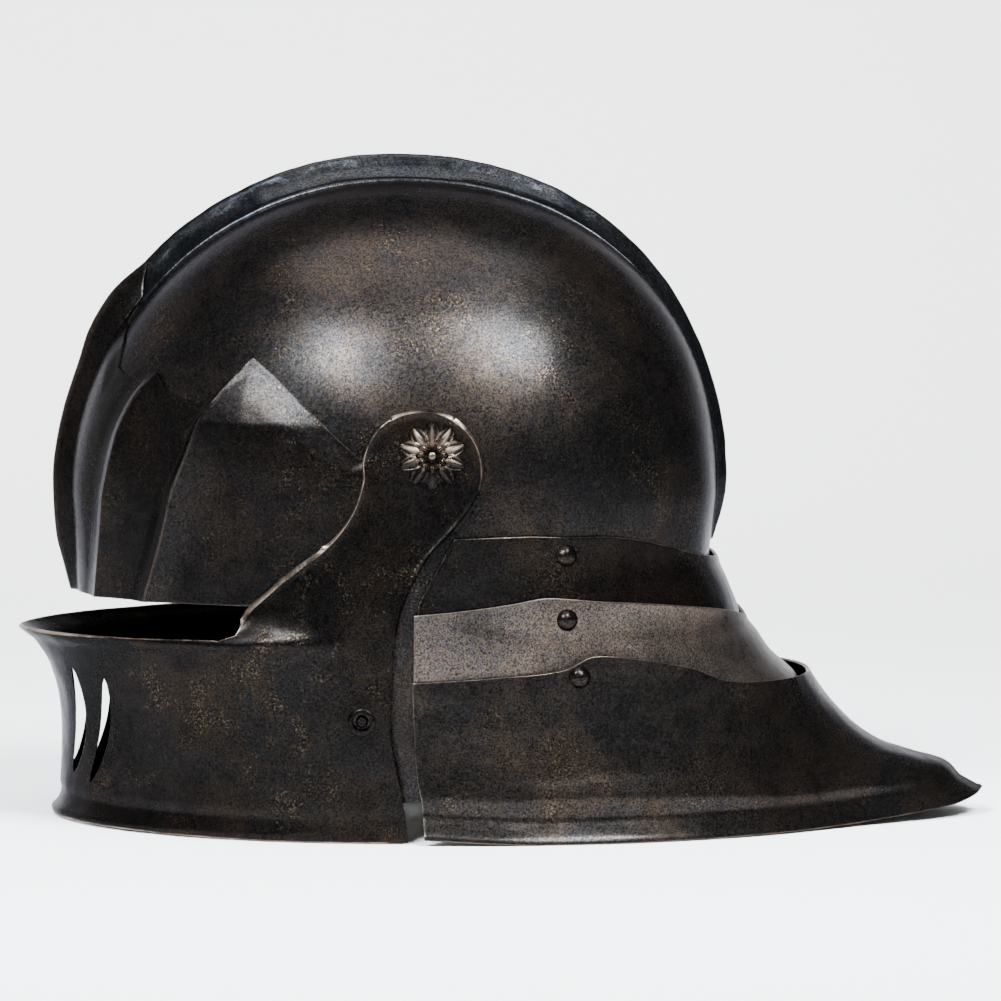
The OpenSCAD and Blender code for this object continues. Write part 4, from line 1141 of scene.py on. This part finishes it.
def build_liner_cap():
    """The quilted cap: gores from the crown, sewn down along their seams and in rings."""
    cols = 240
    rows = 96
    hem = 112
    inset = 7.4
    pad = 6
    gores = 12
    angles = np.linspace(0, 360, cols, endpoint=False)
    t = np.linspace(3, math.degrees(math.acos((hem - BOWL_Z) / BOWL_H)), rows + 1)
    g = skull_point(angles[None, :], (BOWL_Z + BOWL_H * cos_d(t))[:, None])
    n = grid_normals(g, closed=True)
    seam = np.abs(sin_d(angles * gores / 2))[None, :] ** 0.5
    ring = np.abs(sin_d(np.linspace(0, 180 * 5, rows + 1)))[:, None] ** 0.5
    puff = np.minimum(seam * ease(np.linspace(0, 3, rows + 1))[:, None] + 0.12, ring + 0.12)
    hem_thin = ease((1 - np.linspace(0, 1, rows + 1)) * 14)[:, None]
    lumps = 0.35 * waves(g, 16, 14)
    outer = g - n * inset
    inner = g - n * (inset + 1.5 + (pad - 1.5) * np.minimum(puff, 1) * mix(0.35, 1, hem_thin) + lumps)[...,
                                                                                                       None]
    verts = np.concatenate([outer.reshape(-1, 3), inner.reshape(-1, 3)])
    base = (rows + 1) * cols
    faces = []
    for i in range(rows):
        for j in range(cols):
            k = (j + 1) % cols
            a, b, c, d = i * cols + j, i * cols + k, (i + 1) * cols + k, (i + 1) * cols + j
            faces.append((a, b, c, d))
            faces.append((base + b, base + a, base + d, base + c))
    last = rows * cols
    for j in range(cols):
        k = (j + 1) % cols
        faces.append((last + j, last + k, base + last + k, base + last + j))
    faces.append(tuple(range(cols - 1, -1, -1)))
    faces.append(tuple(base + j for j in range(cols)))
    obj = merged("quilted_cap", [(verts, faces)])
    settle(obj, sharp=70)
    stands_for(obj, LINEN, "skull", "liner_linen", "liner_cap")


BAND_T = 2.2
BAND_IN = SHEET + 0.7      # from the skull's outer face in to the band's outer one


def build_liner_band():
    """The leather band that holds the cap, with a row of stitches at each edge."""
    cols = 240
    z = np.array([131, 130.2, 127, 122, 117, 113.8, 113])[:, None]
    angles = np.linspace(0, 360, cols, endpoint=False)
    g = skull_point(angles[None, :], z)
    n = grid_normals(g, closed=True)
    g = g - n * BAND_IN
    obj = face_object("leather_band", g, closed=True)
    thicken(obj, thickness=BAND_T, bevel=0.5)
    stands_for(obj, LINER_LEATHER, "skull", "liner_leather", "liner_band")
    stitches = []
    for z_at in (129, 115):
        for a in np.arange(0, 360, 2.4):
            p = skull_point(a, z_at)
            q = skull_point(a + 0.9, z_at)
            along = (q - p) / np.linalg.norm(q - p)
            inward = np.array([along[1], -along[0], 0])
            if np.dot(inward, np.array([BOWL_X, 0, z_at]) - p) < 0:
                inward = -inward
            v, f = lathe([(0, -1.3), (0.35, -1.1), (0.42, 0), (0.35, 1.1), (0, 1.3)], steps=8)
            v = placed(v, p + inward * (BAND_IN + BAND_T + 0.05), along)
            stitches.append((v, f))
    obj = merged("band_stitches", stitches)
    settle(obj)
    stands_for(obj, THREAD, "skull", "liner_leather")


# ---- chin strap ----

STRAP_X = -54
STRAP_W = 18
STRAP_T = 2.0
STRAP_FACE = 92.5
LEFT_ROUTE = [(-STRAP_FACE, 44), (-STRAP_FACE, 34), (-91, 25), (-86, 15), (-78, 8), (-66, 4.2), (-50, 2.7),
              (-18, 2.5)]
RIGHT_ROUTE = [(STRAP_FACE, 44), (STRAP_FACE, 34), (91, 25), (86, 15), (78, 7.5), (66, 3.6), (50, 2.4),
               (14, 2.2),
               (0, 4.6), (-16, 5.7), (-40, 5.2), (-60, 5.9)]


def strap_mesh(name, route, steps, node, point):
    """A leather strap along a route in the YZ plane, with eased edges, a shaped end and stitching."""
    path = measured(route)
    s = np.linspace(0, 1, steps)
    p = curve(path, s)
    d = curve(path, np.clip(s + 0.004, 0, 1)) - curve(path, np.clip(s - 0.004, 0, 1))
    d /= np.linalg.norm(d, axis=1, keepdims=True)
    nrm = np.stack([-d[:, 1], d[:, 0]], axis=1)
    run = s * sum(np.linalg.norm(np.diff(np.array(route, float), axis=0), axis=1))
    total = run[-1]
    half = np.minimum(STRAP_W / 2, 4.5 + np.sqrt(np.clip(run * 9, 0, None)))
    if point:
        half = np.minimum(half, 2.2 + np.clip(total - run, 0, None) * 0.75)
    section = [(1, 0.55), (0.965, 0.9), (0.9, 1), (0.45, 1.03), (0, 1.05), (-0.45, 1.03), (-0.9, 1),
               (-0.965, 0.9),
               (-1, 0.55), (-1, -0.55), (-0.965, -0.9), (-0.9, -1), (0, -1), (0.9, -1), (0.965, -0.9),
               (1, -0.55)]
    verts = []
    for i in range(steps):
        for a, b in section:
            yz = p[i] + nrm[i] * b * STRAP_T / 2 * 0.94
            verts.append((STRAP_X + a * half[i], yz[0], yz[1]))
    k = len(section)
    faces = ring_faces(steps, k)
    faces += [tuple(range(k - 1, -1, -1)), tuple((steps - 1) * k + j for j in range(k))]
    obj = merged(name, [(verts, faces)])
    settle(obj, sharp=60)
    stands_for(obj, STRAP_LEATHER, "chin_strap", "strap_leather", node)
    stitches = []
    for side in (-1, 1):
        for at in np.arange(6, total - 8, 3.4):
            q = curve(path, at / total)
            e = curve(path, min(1, at / total + 0.01)) - curve(path, at / total - 0.01)
            e = e / np.linalg.norm(e)
            m = np.array([-e[1], e[0]])
            width = float(np.interp(at, run, half)) - 2
            for face in (-1, 1):
                v, f = lathe([(0, -1.2), (0.3, -1), (0.36, 0), (0.3, 1), (0, 1.2)], steps=8)
                o = (STRAP_X + side * width, *(q + m * face * STRAP_T / 2 * 0.96))
                stitches.append((placed(v, o, (0, e[0], e[1])), f))
    obj = merged(name + "_stitches", stitches)
    settle(obj)
    stands_for(obj, THREAD, "chin_strap", "strap_leather")


def tube(points, radius, closed=False, sides=14):
    """A round bar along 3D points in mm."""
    pts = [Vector(p) for p in points]
    n = len(pts)
    verts = []
    side = None
    turns = [2 * math.pi * k / sides for k in range(sides)]
    for i, p in enumerate(pts):
        back = pts[(i - 1) % n] if closed or i > 0 else p
        ahead = pts[(i + 1) % n] if closed or i < n - 1 else p
        d = (ahead - back).normalized()
        side = (d.orthogonal() if side is None else side - d * side.dot(d)).normalized()
        up = d.cross(side)
        verts += [tuple(p + radius * (math.cos(a) * side + math.sin(a) * up)) for a in turns]
    faces = ring_faces(n, sides, closed)
    if not closed:
        faces += [tuple(range(sides - 1, -1, -1)), tuple((n - 1) * sides + k for k in range(sides))]
    return verts, faces


def rounded_ring(cx, cy, cz, half_x, half_y, r, bow=0.0):
    """Points round a rectangle with round corners, flat in XY and bowed up in the middle."""
    pts = []
    for sx, sy, start in ((1, 1, 0), (-1, 1, 90), (-1, -1, 180), (1, -1, 270)):
        for a in range(0, 91, 15):
            x = sx * (half_x - r) + r * cos_d(start + a)
            y = sy * (half_y - r) + r * sin_d(start + a)
            pts.append((cx + x, cy + y, cz + bow * (1 - (x / half_x) ** 2)))
    return pts


def build_buckle():
    """The brass loop and prong, and the leather keeper."""
    buckle_y = -14
    ring = rounded_ring(STRAP_X, buckle_y, 8.2, 12, 10, 3)
    bar, bar_faces = tube(ring, 1.0, closed=True)
    obj = merged("buckle_loop", [(bar, bar_faces)])
    settle(obj)
    stands_for(obj, BRASS, "chin_strap", "buckle_brass", "buckle_frame")
    prong = tube([(STRAP_X, buckle_y + 10.3, 9.8), (STRAP_X, buckle_y + 5, 10.1), (STRAP_X, buckle_y, 10.1),
                  (STRAP_X, buckle_y - 6, 9.95), (STRAP_X, buckle_y - 10.4, 9.75)], 0.95)
    obj = merged("buckle_prong", [prong])
    settle(obj)
    stands_for(obj, BRASS, "chin_strap", "buckle_brass", "buckle_tongue")
    middle_z = 3.9
    loop = [(STRAP_X + x, -42, middle_z + z) for x, z in
            [(9.9, 2.1), (9.2, 3.0), (0, 3.05), (-9.2, 3.0), (-9.9, 2.1), (-9.9, -2.1), (-9.2, -3.0),
             (0, -3.05),
             (9.2, -3.0), (9.9, -2.1)]]
    verts = []
    for dy in (-3.9, -3.4, 3.4, 3.9):
        swell = 0.0 if abs(dy) > 3.6 else 0.25
        for x, y, z in loop:
            out = Vector((x - STRAP_X, 0, z - middle_z)).normalized()
            verts.append((x + out.x * swell, y + dy, z + out.z * swell))
    keeper = merged("keeper_loop", [(verts, ring_faces(4, len(loop)))])
    solid = keeper.modifiers.new("leather", "SOLIDIFY")
    solid.thickness = 0.7 * MM
    solid.offset = 0
    settle(keeper, sharp=50)
    stands_for(keeper, STRAP_LEATHER, "chin_strap", "strap_leather", "strap_keeper")


# ---- CAD nodes that stay ----

KEPT = {
    "pivot_pins": FITTING_STEEL, "pivot_spacers": FITTING_STEEL, "pivot_washers": FITTING_STEEL,
    "upper_washers": FITTING_STEEL, "middle_washers": FITTING_STEEL, "tail_washers": FITTING_STEEL,
    "catch_spring": FITTING_STEEL, "catch_spring_rivet": FITTING_STEEL, "catch_stud": RIVET_STEEL,
    "liner_rivets": SKULL_STEEL, "strap_rivets": FITTING_STEEL, "strap_washers": FITTING_STEEL,
}


def dress_kept_nodes():
    """Materials for the CAD nodes that are shown as they are."""
    for name, material in KEPT.items():
        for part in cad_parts[name].material_slots:
            part.material = material


# ---- stage ----

def build_stage():
    """A pale floor that curves up into a backdrop."""
    n = Nodes("studio_paper")
    fibre = n.noise(160, detail=3)
    color = n.blend(fibre, rgb(0.88, 0.88, 0.88), rgb(0.93, 0.93, 0.93))
    n.finish(color, n.band(fibre, 0.3, 0.7, 0.7, 0.85), n.bump(fibre, 0.05, 0.0005))
    side = 5.0
    bend = 1.2
    sweep = [(bend + bend * sin_d(a), bend - bend * cos_d(a)) for a in range(6, 91, 6)]
    outline = [(-3.0, 0), (bend, 0), *sweep, (2 * bend, 5)]
    verts = [(x, float(y), float(z)) for y, z in outline for x in (-side, side)]
    faces = [(2 * i, 2 * i + 1, 2 * i + 3, 2 * i + 2) for i in range(len(outline) - 1)]
    paper = make_object("studio_paper", verts, faces)
    paper.data.shade_smooth()
    paper.data.materials.append(n.mat)


def look_from(obj, place, aim):
    """Puts the object at a place and turns it towards its aim."""
    obj.location = place
    obj.rotation_euler = (aim - obj.location).to_track_quat("-Z", "Y").to_euler()


LIGHT_AIM = (-0.02, 0, 0.14)
KEY_TINT = (0.88, 0.95, 1)


def add_light(name, direction, distance, size, power, tint=(1, 1, 1), spread=180, aim=LIGHT_AIM):
    """An area light at a distance from its aim, along a direction."""
    light = bpy.data.lights.new(name, "AREA")
    light.shape = "RECTANGLE"
    light.size = size[0]
    light.size_y = size[1]
    light.energy = power
    light.color = tint
    light.spread = math.radians(spread)
    aim = Vector(aim)
    look_from(in_scene(name, light), aim + Vector(direction).normalized() * distance, aim)


def build_light():
    """The studio's pale world and its area lights."""
    world = bpy.data.worlds.new("studio")
    world.use_nodes = True
    background = world.node_tree.nodes["Background"]
    background.inputs["Color"].default_value = (1, 1, 1, 1)
    background.inputs["Strength"].default_value = 0.22
    bpy.context.scene.world = world
    add_light("key_right", (0.36, -0.62, 0.70), 1.5, (0.56, 0.56), 26, KEY_TINT, spread=90)
    add_light("key_left", (-0.34, -0.71, 0.625), 1.5, (0.5, 0.5), 21.5, KEY_TINT, spread=90)
    add_light("top", (0.0, -0.1, 1.0), 1.8, (1.8, 1.0), 46)
    add_light("front_fill", (-1, 0.1, 0.2), 2.0, (1.6, 1.4), 5)
    add_light("side_glow", (-0.64, 0.77, 0.3), 2.0, (1.8, 1.3), 18)
    add_light("backdrop", (0.0, -0.55, 1.0), 1.8, (2.0, 0.5), 45, spread=120, aim=(0, 2.0, 0.3))


def build_camera():
    """A long lens on the near side, a little above the helmet's middle."""
    camera = bpy.data.cameras.new("camera")
    camera.sensor_width = 36
    camera.lens = 208.2
    obj = in_scene("camera", camera)
    look_from(obj, (0, -2.196, 0.253), Vector((0, 0, 0.1186)))
    bpy.context.scene.camera = obj


build_skull()
build_comb()
build_brow_plate()
build_visor()
build_catch_ring()
build_lame("upper_lame", UPPER_TOP, UPPER_BOTTOM, UPPER_REAR, UPPER_FRONT, UPPER_HALF, "upper_lame", 9,
           LAME_STEEL)
build_lame("middle_lame", MIDDLE_TOP, MIDDLE_BOTTOM, MIDDLE_REAR, MIDDLE_FRONT, MIDDLE_HALF, "middle_lame",
           10,
           MIDDLE_LAME_SHEEN, crease=((-13.5, 78.8), (4.6, 74.0)))
build_tail()
for seed, (rivets, (place, rear_x, half, body)) in enumerate(RIVETS.items(), start=15):
    build_rivets(rivets, place, rear_x, half, body, seed)
build_rosettes()
build_liner_cap()
build_liner_band()
strap_mesh("strap_buckle_side", LEFT_ROUTE, 90, "strap_left", point=False)
strap_mesh("strap_free_side", RIGHT_ROUTE, 150, "strap_right", point=True)
build_buckle()
dress_kept_nodes()
build_stage()
build_light()
build_camera()
